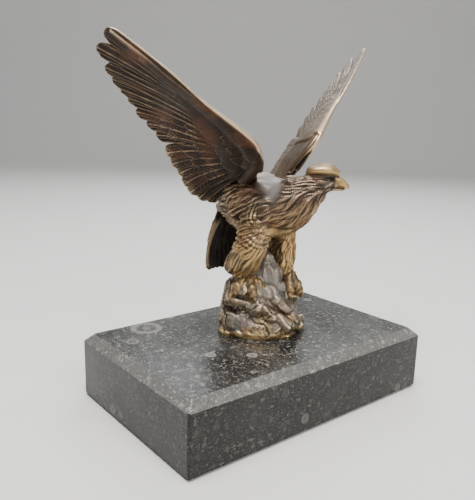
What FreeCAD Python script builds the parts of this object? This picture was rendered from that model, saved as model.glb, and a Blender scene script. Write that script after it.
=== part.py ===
import FreeCAD, Part
import math
import os
import Sketcher

V = FreeCAD.Vector
doc = FreeCAD.newDocument("statuette")

# ---------------------------------------------------------------- driving sizes (mm)
SIZES = {
    # plinth and felt
    "plinth_length": 180, "plinth_depth": 115, "plinth_height": 40, "plinth_chamfer": 5,
    "plinth_edge_radius": 1.5, "felt_thickness": 1.5, "felt_inset": 1.5,
    "stud_hole": 6.6, "nut_recess": 22, "nut_recess_depth": 16,
    # rock
    "rock_x": 5, "rock_y": 5, "rock_foot_radius": 28.5, "rock_waist_radius": 26,
    "rock_ledge_radius": 27, "rock_crown_radius": 15, "rock_height": 37, "rock_wall": 3.5,
    "rock_boss": 14, "rock_boss_height": 12,
    # bird
    "wall": 3.5, "socket": 8, "socket_depth": 9, "pin": 2.5, "tenon_gap": 0.15,
    "torso_hollow_up": 18, "torso_hollow_across": 20, "torso_hollow_ahead": 20,
    "shank": 4.6, "toe": 3.4, "toe_tip": 1.3, "toe_length": 12,
    # wings
    "wing_span": 99, "wing_root": 12, "wing_chord": 60, "wing_skin": 3.2, "wing_camber_radius": 85,
    "shoulder_up": 10, "shoulder_across": 7, "shoulder_ahead": 16,
    # tail
    "tail_width": 52, "tail_length": 50, "tail_skin": 3.2, "tail_radius": 42, "tail_neck": 20,
    # fasteners
    "fixing_stud": 6, "fixing_length": 44, "fixing_washer": 18, "fixing_washer_thick": 1.6,
    "fixing_nut_flats": 10, "fixing_nut_thick": 5,
    "foot_stud": 4, "foot_stud_length": 16, "foot_washer": 9, "foot_washer_thick": 0.8,
    "foot_nut_flats": 7, "foot_nut_thick": 3.2,
}

sheet = doc.addObject("Spreadsheet::Sheet", "sizes")
for row, (alias, value) in enumerate(SIZES.items(), 1):
    sheet.set("A%d" % row, alias)
    sheet.set("B%d" % row, str(value))
    sheet.setAlias("B%d" % row, alias)
doc.recompute()


def size(alias):
    """The sheet's value for one driving size."""
    return float(sheet.get(alias))


def bind(obj, **links):
    """Tie properties of a document object to the sheet; {x} in an expression reads sizes.x."""
    for prop, expression in links.items():
        obj.setExpression(prop.replace("__", "."), expression.replace("{", "sizes.").replace("}", ""))
    return obj


# ---------------------------------------------------------------- frame and datums
FELT = size("felt_thickness")
TOP = size("plinth_height")
BIRD_X, BIRD_Y = 3, 3


def bird(forward, left, up):
    """A point given from the bird's own middle: it faces -Y, and its left is +X."""
    return V(BIRD_X + left, BIRD_Y - forward, TOP + up)


# ---------------------------------------------------------------- PartDesign helpers
def new_body(label):
    body = doc.addObject("PartDesign::Body", label)
    body.Label = label
    return body


def origin_plane(body, role):
    return [f for f in body.Origin.OriginFeatures if f.Role == role][0]


def new_sketch(body, name, role="XY_Plane", offset=None):
    sketch = body.newObject("Sketcher::SketchObject", name)
    sketch.AttachmentSupport = (origin_plane(body, role), [""])
    sketch.MapMode = "FlatFace"
    if offset is not None:
        sketch.setExpression("AttachmentOffset.Base.z", offset.replace("{", "sizes.").replace("}", ""))
    return sketch


def circle(sketch, diameter, x=0, y=0):
    """A circle whose diameter is an expression."""
    index = sketch.addGeometry(Part.Circle(V(x, y, 0), V(0, 0, 1), 5))
    sketch.addConstraint(Sketcher.Constraint("DistanceX", -1, 1, index, 3, x))
    sketch.addConstraint(Sketcher.Constraint("DistanceY", -1, 1, index, 3, y))
    dim = sketch.addConstraint(Sketcher.Constraint("Diameter", index, 10))
    sketch.setExpression("Constraints[%d]" % dim, diameter.replace("{", "sizes.").replace("}", ""))


def rectangle(sketch, width, depth):
    """A rectangle centred on the sketch's origin; both sides are expressions."""
    corners = [V(-9, -6, 0), V(9, -6, 0), V(9, 6, 0), V(-9, 6, 0)]
    for i in range(4):
        sketch.addGeometry(Part.LineSegment(corners[i], corners[(i + 1) % 4]))
    for i in range(4):
        sketch.addConstraint(Sketcher.Constraint("Coincident", i, 2, (i + 1) % 4, 1))
    for i in (0, 2):
        sketch.addConstraint(Sketcher.Constraint("Horizontal", i))
    for i in (1, 3):
        sketch.addConstraint(Sketcher.Constraint("Vertical", i))
    sketch.addConstraint(Sketcher.Constraint("Symmetric", 0, 1, 2, 1, -1, 1))
    wide = sketch.addConstraint(Sketcher.Constraint("DistanceX", 0, 1, 0, 2, 18))
    deep = sketch.addConstraint(Sketcher.Constraint("DistanceY", 1, 1, 1, 2, 12))
    sketch.setExpression("Constraints[%d]" % wide, width.replace("{", "sizes.").replace("}", ""))
    sketch.setExpression("Constraints[%d]" % deep, depth.replace("{", "sizes.").replace("}", ""))


def hexagon(sketch, flats):
    """A regular hexagon on the origin, flats apart by an expression."""
    ring = [V(6 * math.cos(math.radians(60 * k)), 6 * math.sin(math.radians(60 * k)), 0) for k in range(6)]
    for k in range(6):
        sketch.addGeometry(Part.LineSegment(ring[k], ring[(k + 1) % 6]))
    guide = sketch.addGeometry(Part.Circle(V(0, 0, 0), V(0, 0, 1), 6), True)
    for k in range(6):
        sketch.addConstraint(Sketcher.Constraint("Coincident", k, 2, (k + 1) % 6, 1))
        sketch.addConstraint(Sketcher.Constraint("PointOnObject", k, 1, guide))
    for k in range(5):
        sketch.addConstraint(Sketcher.Constraint("Equal", k, k + 1))
    sketch.addConstraint(Sketcher.Constraint("Coincident", guide, 3, -1, 1))
    sketch.addConstraint(Sketcher.Constraint("PointOnObject", 0, 1, -1))
    across = sketch.addConstraint(Sketcher.Constraint("Diameter", guide, 12))
    sketch.setExpression("Constraints[%d]" % across,
                         (flats + " / cos(30 deg)").replace("{", "sizes.").replace("}", ""))


def pad(body, sketch, length):
    feature = body.newObject("PartDesign::Pad", sketch.Name + "_pad")
    feature.Profile = sketch
    bind(feature, Length=length)
    doc.recompute()
    return feature


def pocket(body, sketch, length=None, upward=False):
    """Cut the sketch out of the body, right through where no length is given."""
    feature = body.newObject("PartDesign::Pocket", sketch.Name + "_pocket")
    feature.Profile = sketch
    feature.Reversed = upward
    if length is None:
        feature.Type = "ThroughAll"
        feature.Midplane = True
    else:
        bind(feature, Length=length)
    doc.recompute()
    return feature


def edges_where(shape, test):
    return ["Edge%d" % (i + 1) for i, edge in enumerate(shape.Edges) if test(edge)]


# ---------------------------------------------------------------- plinth and felt
def build_plinth():
    body = new_body("stone_plinth")
    block = new_sketch(body, "plinth_outline", offset="{felt_thickness}")
    rectangle(block, "{plinth_length}", "{plinth_depth}")
    pad(body, block, "{plinth_height} - {felt_thickness}")
    bore = new_sketch(body, "plinth_bore", offset="{felt_thickness}")
    circle(bore, "{stud_hole}")
    pocket(body, bore)
    recess = new_sketch(body, "plinth_recess", offset="{felt_thickness}")
    circle(recess, "{nut_recess}")
    cut = pocket(body, recess, "{nut_recess_depth}", upward=True)

    def rim(edge):
        box = edge.BoundBox
        return box.ZMin > TOP - 0.01 and max(box.XMax, -box.XMin) > 20

    bevel = body.newObject("PartDesign::Chamfer", "plinth_bevel")
    bevel.Base = (cut, edges_where(cut.Shape, rim))
    bind(bevel, Size="{plinth_chamfer}")
    doc.recompute()

    def corner(edge):
        a, b = edge.Vertexes[0].Point, edge.Vertexes[-1].Point
        outer = min(abs(a.x), abs(b.x)) > 80
        return outer and abs(a.z - b.z) > 1

    corners = body.newObject("PartDesign::Fillet", "plinth_corners")
    corners.Base = (bevel, edges_where(bevel.Shape, corner))
    bind(corners, Radius="{plinth_edge_radius}")
    doc.recompute()
    return body


def build_felt():
    body = new_body("felt_sheet")
    outline = new_sketch(body, "felt_outline")
    rectangle(outline, "{plinth_length} - 2 * {felt_inset}", "{plinth_depth} - 2 * {felt_inset}")
    pad(body, outline, "{felt_thickness}")
    return body


# ---------------------------------------------------------------- small turned fasteners
def turned(label, diameter, length, place, bore=None, flats=None):
    """A stud, pin, washer or nut: a round or hexagonal pad, with a bore if one is given."""
    body = new_body(label)
    outline = new_sketch(body, label + "_outline")
    if flats:
        hexagon(outline, flats)
    else:
        circle(outline, diameter)
    pad(body, outline, length)
    if bore:
        hole = new_sketch(body, label + "_hole")
        circle(hole, bore)
        pocket(body, hole)
    body.Placement = place
    doc.recompute()
    return body


def along(start, direction):
    """A placement that puts a body's own +Z along a direction, from a start point."""
    return FreeCAD.Placement(start, FreeCAD.Rotation(V(0, 0, 1), direction))


# ---------------------------------------------------------------- lofts of bound ellipses
def ellipse(name, centre, normal, wide, tall, across):
    """One section of a loft: a Part::Ellipse square to its normal, its width along a given way."""
    ring = doc.addObject("Part::Ellipse", name)
    ring.MajorRadius = max(wide, tall)
    ring.MinorRadius = min(wide, tall)
    side = (across - normal * across.dot(normal)).normalize()
    rise = normal.cross(side)
    if tall > wide:
        side, rise = rise, side.negative()
    ring.Placement = FreeCAD.Placement(centre, FreeCAD.Rotation(side, rise, normal, "ZXY"))
    return ring


def loft(name, sections, ruled=False):
    body = doc.addObject("Part::Loft", name)
    body.Sections = sections
    body.Solid = True
    body.Ruled = ruled
    doc.recompute()
    return body


def spine_loft(name, rows, across=V(1, 0, 0)):
    """A loft along stations (point, tangent, half width, half height)."""
    rings = []
    for i, (centre, tangent, wide, tall) in enumerate(rows):
        direction = V(tangent).normalize()
        rings.append(ellipse("%s_%d" % (name, i), centre, direction, wide, tall, across))
    return loft(name, rings)


def fuse(name, shapes):
    joined = doc.addObject("Part::MultiFuse", name)
    joined.Shapes = shapes
    joined.Refine = False
    doc.recompute()
    return joined


def cut(name, base, tools):
    """Take a list of tools off a base, one Part::Cut each; the last one carries the name."""
    result = base
    for i, tool in enumerate(tools):
        last = i == len(tools) - 1
        step = doc.addObject("Part::Cut", name if last else "%s_cut%d" % (name, i))
        step.Base = result
        step.Tool = tool
        step.Refine = False
        doc.recompute()
        result = step
    return result


def rod(name, radius, length, start, direction):
    """A Part::Cylinder with radius and length as expressions."""
    item = doc.addObject("Part::Cylinder", name)
    bind(item, Radius=radius, Height=length)
    item.Placement = along(start, direction)
    doc.recompute()
    return item


def taper(name, radius_a, radius_b, start, end):
    """A Part::Cone between two points."""
    item = doc.addObject("Part::Cone", name)
    bind(item, Radius1=radius_a, Radius2=radius_b)
    item.Height = (end - start).Length
    item.Placement = along(start, end - start)
    doc.recompute()
    return item


def ball(name, radius, centre):
    item = doc.addObject("Part::Sphere", name)
    bind(item, Radius=radius)
    item.Placement = FreeCAD.Placement(centre, FreeCAD.Rotation())
    doc.recompute()
    return item


# ---------------------------------------------------------------- rock under the feet
ROCK_X, ROCK_Y = size("rock_x"), size("rock_y")
STAND = 31                      # height of the feet above the plinth
ROOF = 4.5                      # metal under the feet
ROCK_SIDES = 9
RIGHT_FOOT = bird(7.5, -16, STAND)
LEFT_FOOT = bird(14, 14, STAND)
RIGHT_STUD = V(-10.5, -3.5, TOP + STAND)
LEFT_STUD = V(15, -9, TOP + STAND)


def facet(name, radius, height, turn, shift=0.0):
    """One nine-sided section of the rock; the radius is an expression."""
    ring = doc.addObject("Part::RegularPolygon", name)
    ring.Polygon = ROCK_SIDES
    bind(ring, Circumradius=radius)
    centre = V(ROCK_X + shift, ROCK_Y - shift, TOP + height)
    ring.Placement = FreeCAD.Placement(centre, FreeCAD.Rotation(V(0, 0, 1), turn))
    return ring


def build_rock():
    skin = loft("rock_skin", [
        facet("rock_foot_ring", "{rock_foot_radius}", 0, 0),
        facet("rock_waist_ring", "{rock_waist_radius}", 12, 7),
        facet("rock_ledge_ring", "{rock_ledge_radius}", 24, 3, 0.5),
        facet("rock_stand_ring", "{rock_waist_radius}", STAND, 8, 0.5)], ruled=True)
    crown = doc.addObject("Part::Cone", "rock_crown")
    bind(crown, Radius1="{rock_crown_radius} * 0.6", Radius2="{rock_crown_radius} * 0.35")
    crown.Height = size("rock_height") - STAND
    crown.Placement = FreeCAD.Placement(V(3, 9, TOP + STAND), FreeCAD.Rotation())
    solid = fuse("rock_solid", [skin, crown])
    core = loft("rock_core", [
        facet("rock_core_foot", "{rock_foot_radius} - {rock_wall}", 0, 0),
        facet("rock_core_waist", "{rock_waist_radius} - {rock_wall}", 12, 7),
        facet("rock_core_roof", "{rock_ledge_radius} - {rock_wall}", STAND - ROOF, 3, 0.5)], ruled=True)
    shell = cut("rock_shell", solid, [core])
    boss = rod("rock_boss", "{rock_boss} / 2", "{rock_height} - 8", V(0, 0, TOP + 4), V(0, 0, 1))
    bossed = fuse("rock_bossed", [shell, boss])
    tap = rod("rock_tapping", "{fixing_stud} / 2 + 0.1", "{rock_boss_height} + 2.6", V(0, 0, TOP), V(0, 0, 1))
    holes = [rod("rock_hole_" + side, "{foot_stud} / 2 + 0.25", "{rock_wall} * 3",
                 spot - V(0, 0, 8), V(0, 0, 1))
             for side, spot in (("right", RIGHT_STUD), ("left", LEFT_STUD))]
    rock = cut("rock_casting", bossed, [tap] + holes)
    rock.Label = "rock_casting"
    return rock


# ---------------------------------------------------------------- the bird's body, head, legs and feet
SPINE = [  # (forward, left, up), tangent (forward, left, up), half width, half height
    ((-37, 0, 74), (1, 0, 0.1), 9, 6),
    ((-27, 0, 75.5), (1, 0, 0.1), 14.5, 11.5),
    ((-11, 0, 77.5), (1, 0, 0.08), 19, 16.5),
    ((6, 0, 79), (1, 0, 0.12), 20.5, 18.5),
    ((20, 1, 81.5), (1, 0.1, 0.3), 19.5, 17.5),
    ((30, 5, 87), (0.8, 0.5, 0.5), 14.6, 14.3),
    ((34, 12, 93), (0.6, 0.75, 0.4), 10.8, 10.6),
    ((37, 18, 96), (0.66, 0.75, 0), 8.8, 8.7),
    ((41, 24, 96), (0.66, 0.75, -0.1), 6.6, 6.5),
    ((43.5, 27, 95.5), (0.66, 0.75, -0.2), 4.0, 3.9),
]
BEAK = [
    ((43, 26.5, 95.5), (0.66, 0.75, -0.1), 3.0, 3.8),
    ((45.5, 29.5, 95), (0.66, 0.75, -0.35), 2.4, 3.1),
    ((47.3, 31.6, 92.6), (0.3, 0.34, -0.9), 1.2, 1.7),
    ((47.5, 31.8, 90.2), (0.05, 0.06, -1), 0.5, 0.7),
]
THIGHS = {
    "right": [((9, -12, 72), (0.1, -0.3, -1), 10, 12), ((12, -17, 62), (0.1, -0.2, -1), 10, 10.8),
              ((9, -18, 51), (-0.3, 0, -1), 8.8, 9.2), ((6, -17, 41), (-0.1, 0, -1), 7, 7.5)],
    "left": [((9, 12, 72), (0.1, 0.3, -1), 10, 12), ((12, 16, 60), (0, 0.1, -1), 10, 10.5),
             ((12, 16, 49), (0, 0, -1), 8.6, 9), ((13, 15.5, 39), (0.1, -0.1, -1), 6.5, 7)],
}
CUFFS = {"right": bird(6, -17, 43), "left": bird(13, 15.5, 41)}
TOE_ANGLES = (-38, 0, 38, 180)


def stations(rows):
    """Turn rows given in the bird's own directions into points and tangents of the frame."""
    return [(bird(*point), V(way[1], -way[0], way[2]), wide, tall) for point, way, wide, tall in rows]


def build_leg(side, foot, facing):
    """Feathered thigh, bare shank, foot pad, four toes and their claws."""
    thigh = spine_loft("thigh_" + side, stations(THIGHS[side]))
    pad_top = foot + V(0, 0, 3.4)
    shank = taper("shank_" + side, "{shank} / 2 * 1.2", "{shank} / 2 * 1.3", CUFFS[side], pad_top)
    sole = doc.addObject("Part::Cone", "sole_" + side)
    bind(sole, Radius1="{toe} * 1.75", Radius2="{toe} * 1.1")
    sole.Height = 4.2
    sole.Placement = FreeCAD.Placement(foot, FreeCAD.Rotation())
    pieces = [thigh, shank, sole]
    root, tip = size("toe") / 2, size("toe_tip")
    for i, angle in enumerate(TOE_ANGLES):
        heading = math.radians(facing + angle)
        way = V(math.sin(heading), -math.cos(heading), 0)
        length = size("toe_length") if angle != 180 else size("toe_length") * 0.6
        start = foot + way * 3 + V(0, 0, root)
        knuckle = foot + way * (3 + length) + V(0, 0, tip)
        name = "%s_%d" % (side, i)
        pieces.append(taper("toe_" + name, "{toe} / 2", "{toe_tip}", start, knuckle))
        pieces.append(ball("knuckle_" + name, "{toe_tip}", knuckle))
        pieces.append(taper("claw_" + name, "{toe_tip} * 0.8", "{toe_tip} * 0.25",
                            knuckle, knuckle + way * 3.2 - V(0, 0, tip * 0.7)))
    return pieces


# ---------------------------------------------------------------- wing and tail joints
TENON_TOP = {"left": bird(1, 14, 95), "right": bird(1, -14, 95)}
TENON_END = {"left": bird(0, 10.6, 84), "right": bird(0, -10.6, 84)}
TAIL_TENON_END = bird(-24, 0, 75.5)
TAIL_TENON_START = bird(-40, 0, 73.5)
OUTWARD = {"left": V(0.95, 0.06, -0.3), "right": V(-0.95, 0.06, -0.3)}
PIN_HEIGHT = 0.3                # how far up the tenon its pin crosses it


def pin_middle(side):
    return TENON_END[side] + (TENON_TOP[side] - TENON_END[side]) * PIN_HEIGHT


def build_bird():
    outer = spine_loft("torso_skin", stations(SPINE))
    beak = spine_loft("beak", stations(BEAK), across=V(0.66, 0.75, 0))
    legs = build_leg("right", RIGHT_FOOT, -8) + build_leg("left", LEFT_FOOT, 14)
    solid = fuse("bird_solid", [outer, beak] + legs)
    core = doc.addObject("Part::Ellipsoid", "torso_core")
    bind(core, Radius1="{torso_hollow_up} - {wall} * 1.2",
         Radius2="{torso_hollow_across} - {wall} * 1.1", Radius3="{torso_hollow_ahead} + {wall} * 2")
    core.Placement = FreeCAD.Placement(bird(-3, 0, 78.5), FreeCAD.Rotation())
    doc.recompute()
    shell = cut("bird_shell", solid, [core])
    bosses = [rod("shoulder_boss_" + side, "{socket} / 2 + 2.5", "{socket_depth} * 1.1",
                  TENON_END[side] - (TENON_TOP[side] - TENON_END[side]).normalize() * 1.5,
                  TENON_TOP[side] - TENON_END[side]) for side in ("left", "right")]
    tail_way = TAIL_TENON_START - TAIL_TENON_END
    bosses.append(rod("rump_boss", "{socket} / 2 + 2.5", "{socket_depth} + 2", TAIL_TENON_END, tail_way))
    inside = doc.addObject("Part::Common", "bosses_inside")
    inside.Base = fuse("bosses", bosses)
    inside.Tool = outer
    doc.recompute()
    whole = fuse("bird_whole", [shell, inside])
    pins = []
    bores = []
    for side in ("left", "right"):
        way = TENON_TOP[side] - TENON_END[side]
        bores.append(rod("tenon_bore_" + side, "{socket} / 2 + {tenon_gap}", "{socket_depth} * 3",
                         TENON_END[side], way))
        pins.append(rod("pin_bore_" + side, "{pin} / 2 + 0.05", "{pin} * 12",
                        pin_middle(side) - OUTWARD[side] * 6, OUTWARD[side]))
    bores.append(rod("tail_bore", "{socket} / 2 + {tenon_gap}", "{socket_depth} * 3",
                     TAIL_TENON_END + tail_way.normalize() * 3, tail_way))
    pins.append(rod("tail_pin_bore", "{pin} / 2 + 0.05", "{pin} * 14", bird(-31, -10, 74.8), V(1, 0, 0)))
    for side, spot in (("right", RIGHT_STUD), ("left", LEFT_STUD)):
        bores.append(rod("foot_tapping_" + side, "{foot_stud} / 2 + 0.05", "{foot_stud}", spot - V(0, 0, 0.5),
                         V(0, 0, 1)))
    casting = cut("bird_casting", whole, [fuse("pin_bores", pins), fuse("bird_bores", bores)])
    casting.Label = "bird_casting"
    return casting, outer


# ---------------------------------------------------------------- wings
WRIST = bird(22.4, 22.2, 117.2)            # the left wing's bend, on its leading edge
SPAN_WAY = V(0.726, 0.347, 0.594).normalize()
BACK_WAY = V(-0.024, 0.875, -0.483)
BACK_WAY = (BACK_WAY - SPAN_WAY * BACK_WAY.dot(SPAN_WAY)).normalize()
WING_PLACE = FreeCAD.Placement(WRIST, FreeCAD.Rotation(SPAN_WAY, BACK_WAY, SPAN_WAY.cross(BACK_WAY), "XYZ"))
WING_TIPS = 15


def feather_edge(control, count, bulge):
    """Scalloped edge: a smooth curve through control points, cut into count rounded tips."""
    curve = Part.BSplineCurve()
    curve.interpolate(control)
    first, last = curve.FirstParameter, curve.LastParameter
    points = [curve.value(first + (last - first) * k / count) for k in range(count + 1)]
    arcs = []
    for a, b in zip(points, points[1:]):
        out = (b - a).cross(V(0, 0, 1)).normalize()
        arcs.append(Part.Arc(a, (a + b) * 0.5 + out * bulge, b).toShape())
    return arcs


def prism(name, edges, low, high):
    """A solid over a closed outline, from one height to another."""
    face = Part.Face(Part.Wire(edges))
    item = doc.addObject("Part::Feature", name)
    face.translate(V(0, 0, low))
    item.Shape = face.extrude(V(0, 0, high - low))
    return item


def curved_band(name, radius, skin, length, axis, centre):
    """A tube wall of a given skin, for bending a flat outline; radius and skin are expressions."""
    outer = rod(name + "_outer", "%s + %s" % (radius, skin), length, centre, axis)
    inner = rod(name + "_inner", radius, length, centre, axis)
    return cut(name, outer, [inner])


def wing_plate():
    """The left wing's cambered plate with its feathered edge."""
    span, root, chord = size("wing_span"), size("wing_root"), size("wing_chord")
    tail_points = [V(span, 8, 0), V(span * 0.96, 19, 0), V(span * 0.76, 31, 0), V(span * 0.47, 41, 0),
                   V(span * 0.24, 56, 0), V(0, chord + 8, 0), V(-root, chord + 7, 0)]
    lead = [Part.Arc(V(-root, 17, 0), V(-root * 0.5, 5, 0), V(2, -0.6, 0)).toShape(),
            Part.LineSegment(V(2, -0.6, 0), V(span * 0.97, 0, 0)).toShape(),
            Part.Arc(V(span * 0.97, 0, 0), V(span * 1.005, 3, 0), V(span, 8, 0)).toShape()]
    edge = feather_edge(tail_points, WING_TIPS, 2.0)
    close = [Part.LineSegment(V(-root, chord + 7, 0), V(-root, 17, 0)).toShape()]
    flat = prism("wing_flat", lead + edge + close, -16, 10)
    radius = size("wing_camber_radius")
    middle = V(-root - 5, chord * 0.42, -radius - size("wing_skin") / 2)
    band = curved_band("wing_band", "{wing_camber_radius}", "{wing_skin}", "{wing_span} + 40",
                       V(1, 0, 0), middle)
    plate = doc.addObject("Part::Common", "wing_plate")
    plate.Base = band
    plate.Tool = flat
    plate.Refine = False
    plate.Placement = WING_PLACE
    doc.recompute()
    return plate


def mirrored(source):
    """The same piece on the bird's right."""
    copy = doc.addObject("Part::Mirroring", source.Name + "_mirrored")
    copy.Source = source
    copy.Base = V(BIRD_X, 0, 0)
    copy.Normal = V(1, 0, 0)
    doc.recompute()
    return copy


def build_wing(side, plate, body_skin):
    """A wing: its plate and shoulder fitted to the torso's skin, and its tenon with the pin's bore."""
    sign = 1 if side == "left" else -1
    shoulder = doc.addObject("Part::Ellipsoid", "shoulder_" + side)
    bind(shoulder, Radius1="{shoulder_up}", Radius2="{shoulder_across}", Radius3="{shoulder_ahead}")
    shoulder.Placement = FreeCAD.Placement(bird(2, 15.5 * sign, 92.5), FreeCAD.Rotation(V(1, 0, 0), -18))
    doc.recompute()
    plate_seated = cut("plate_seated_" + side, plate, [body_skin])
    shoulder_seated = cut("shoulder_seated_" + side, shoulder, [body_skin])
    way = TENON_END[side] - TENON_TOP[side]
    tenon = rod("tenon_" + side, "{socket} / 2", "{socket_depth} * 1.2", TENON_TOP[side], way)
    bore = rod("cross_bore_" + side, "{pin} / 2 + 0.05", "{pin} * 12",
               pin_middle(side) - OUTWARD[side] * 6, OUTWARD[side])
    pinned = cut("tenon_pinned_" + side, tenon, [bore])
    rooted = fuse("rooted_" + side, [shoulder_seated, pinned])
    wing = fuse(side + "_wing_casting", [rooted, plate_seated])
    wing.Label = side + "_wing_casting"
    return wing


# ---------------------------------------------------------------- tail
TAIL_TOP = bird(-39.2, 0, 76)
TAIL_TIPS = 7
TAIL_ROOT = [  # the first ring is the torso's own end face
    SPINE[0],
    ((-39.8, 0, 72.5), (0.8, 0, 0.6), 9.5, 5.5),
    ((-41, 0, 66), (0.1, 0, 1), 10, 2.4),
]


def build_tail():
    """A fan hanging straight down behind the rock, hollowed towards it, with a tenon at its neck."""
    wide, long, neck = size("tail_width") / 2, size("tail_length"), size("tail_neck") / 2
    points = [V(wide, long - 9, 0), V(wide * 0.6, long - 2, 0), V(0, long, 0),
              V(-wide * 0.6, long - 2, 0), V(-wide, long - 9, 0)]
    right = Part.Arc(V(-wide, long - 9, 0), V(-neck - 5, long * 0.4, 0), V(-neck, 0, 0)).toShape()
    left = Part.Arc(V(neck, 0, 0), V(neck + 5, long * 0.4, 0), V(wide, long - 9, 0)).toShape()
    top = Part.LineSegment(V(-neck, 0, 0), V(neck, 0, 0)).toShape()
    flat = prism("tail_flat", feather_edge(points, TAIL_TIPS, 2.2) + [right, top, left], -20, 8)
    radius = size("tail_radius")
    band = curved_band("tail_band", "{tail_radius}", "{tail_skin}", "{tail_length} + 20", V(0, 1, 0),
                       V(0, -5, -radius - size("tail_skin")))
    plate = doc.addObject("Part::Common", "tail_plate")
    plate.Base = band
    plate.Tool = flat
    hanging = FreeCAD.Rotation(V(1, 0, 0), V(0, 0, -1), V(0, 1, 0), "XYZ")
    plate.Placement = FreeCAD.Placement(TAIL_TOP, hanging)
    doc.recompute()
    root = spine_loft("tail_root", stations(TAIL_ROOT))
    seated = fuse("tail_seated", [plate, root])
    way = TAIL_TENON_END - TAIL_TENON_START
    tenon = rod("tail_tenon", "{socket} / 2", "{socket_depth} + 3.5", TAIL_TENON_START, way)
    bore = rod("tail_cross_bore", "{pin} / 2 + 0.05", "{pin} * 14", bird(-31, -10, 74.8), V(1, 0, 0))
    tail = cut("tail_casting", fuse("tail_whole", [seated, tenon]), [bore])
    tail.Label = "tail_casting"
    return tail


# ---------------------------------------------------------------- assembly
def pair(label, makers):
    """Two identical small parts kept as one node."""
    group = doc.addObject("Part::Compound", label)
    group.Links = makers
    group.Label = label
    doc.recompute()
    return group


def build_all():
    up = V(0, 0, 1)
    bird_casting, skin = build_bird()
    plate = wing_plate()
    left = build_wing("left", plate, skin)
    right = build_wing("right", mirrored(plate), skin)
    recess_top = FELT + size("nut_recess_depth")
    washer_z = recess_top - size("fixing_washer_thick")
    nut_z = washer_z - size("fixing_nut_thick")
    stud_z = TOP + size("rock_boss_height") + 2.6 - size("fixing_length")
    roof = TOP + STAND - ROOF
    foot_washer_z = roof - size("foot_washer_thick")
    foot_nut_z = foot_washer_z - size("foot_nut_thick")
    stud_top = TOP + STAND - 0.5 + size("foot_stud")
    parts = [build_plinth(), build_felt(), build_rock(), bird_casting, left, right, build_tail()]
    parts.append(turned("fixing_stud", "{fixing_stud}", "{fixing_length}", along(V(0, 0, stud_z), up)))
    parts.append(turned("fixing_washer", "{fixing_washer}", "{fixing_washer_thick}",
                        along(V(0, 0, washer_z), up), bore="{fixing_stud} + 0.4"))
    parts.append(turned("fixing_nut", None, "{fixing_nut_thick}", along(V(0, 0, nut_z), up),
                        bore="{fixing_stud} + 0.1", flats="{fixing_nut_flats}"))
    spots = (("right", RIGHT_STUD), ("left", LEFT_STUD))
    for side, spot in spots:
        foot = V(spot.x, spot.y, stud_top - size("foot_stud_length"))
        parts.append(turned(side + "_foot_stud", "{foot_stud}", "{foot_stud_length}", along(foot, up)))
    washers = [turned("foot_washer_" + side, "{foot_washer} - 1", "{foot_washer_thick}",
                      along(V(spot.x, spot.y, foot_washer_z), up), bore="{foot_stud} + 0.3")
               for side, spot in spots]
    nuts = [turned("foot_nut_" + side, None, "{foot_nut_thick}", along(V(spot.x, spot.y, foot_nut_z), up),
                   bore="{foot_stud} + 0.1", flats="{foot_nut_flats}") for side, spot in spots]
    parts += [pair("foot_washers", washers), pair("foot_nuts", nuts)]
    for side in ("left", "right"):
        start = pin_middle(side) - OUTWARD[side] * 5.8
        parts.append(turned(side + "_wing_pin", "{pin}", "{pin} * 4.8", along(start, OUTWARD[side])))
    parts.append(turned("tail_pin", "{pin}", "{pin} * 7", along(bird(-31, -9.5, 74.8), V(1, 0, 0))))
    return parts


def report_and_write(parts):
    doc.recompute()
    for obj in doc.Objects:
        if "Invalid" in obj.State or "Error" in obj.State:
            raise RuntimeError("%s failed: %s" % (obj.Name, obj.State))
    os.makedirs("parts", exist_ok=True)
    for item in parts:
        shape = item.Shape
        if shape.isNull() or not shape.isValid() or not shape.Solids:
            raise RuntimeError("%s has no valid solid" % item.Label)
        print("%-20s %9.1f mm3  solids %d  %s" % (item.Label, shape.Volume, len(shape.Solids),
                                                  shape.BoundBox))
        shape.exportStep("parts/%s.step" % item.Label)


report_and_write(build_all())
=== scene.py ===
import math
import random

import bpy
import numpy as np
from mathutils import Matrix, Vector, kdtree, noise


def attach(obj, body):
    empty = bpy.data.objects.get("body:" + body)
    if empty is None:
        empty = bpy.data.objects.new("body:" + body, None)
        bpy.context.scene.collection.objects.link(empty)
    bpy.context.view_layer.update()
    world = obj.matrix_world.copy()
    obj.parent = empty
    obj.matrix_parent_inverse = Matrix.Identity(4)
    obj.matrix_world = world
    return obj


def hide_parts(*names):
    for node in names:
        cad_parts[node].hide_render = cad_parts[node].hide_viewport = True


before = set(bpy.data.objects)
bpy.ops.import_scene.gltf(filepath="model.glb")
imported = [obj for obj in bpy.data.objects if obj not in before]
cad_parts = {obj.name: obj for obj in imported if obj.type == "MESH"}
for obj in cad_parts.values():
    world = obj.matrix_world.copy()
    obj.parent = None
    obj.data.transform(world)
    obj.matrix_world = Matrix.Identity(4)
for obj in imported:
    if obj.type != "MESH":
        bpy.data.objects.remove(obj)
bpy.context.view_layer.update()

# Everything is sculpted in millimetres in the frame's own axes, and scaled to metres at the end.
MM = 0.001
TOP = 40.0                      # the plinth's upper face
BIRD = np.array([3.0, 3.0, TOP])


def bird(forward, left, up):
    """A point given from the bird's middle: it faces -Y, and its left is +X."""
    return BIRD + np.array([left, -forward, up], float)


def unit(v):
    v = np.asarray(v, float)
    return v / np.linalg.norm(v, axis=-1, keepdims=True)


def smooth(low, high, x):
    t = np.clip((x - low) / (high - low), 0.0, 1.0)
    return t * t * (3 - 2 * t)


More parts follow.
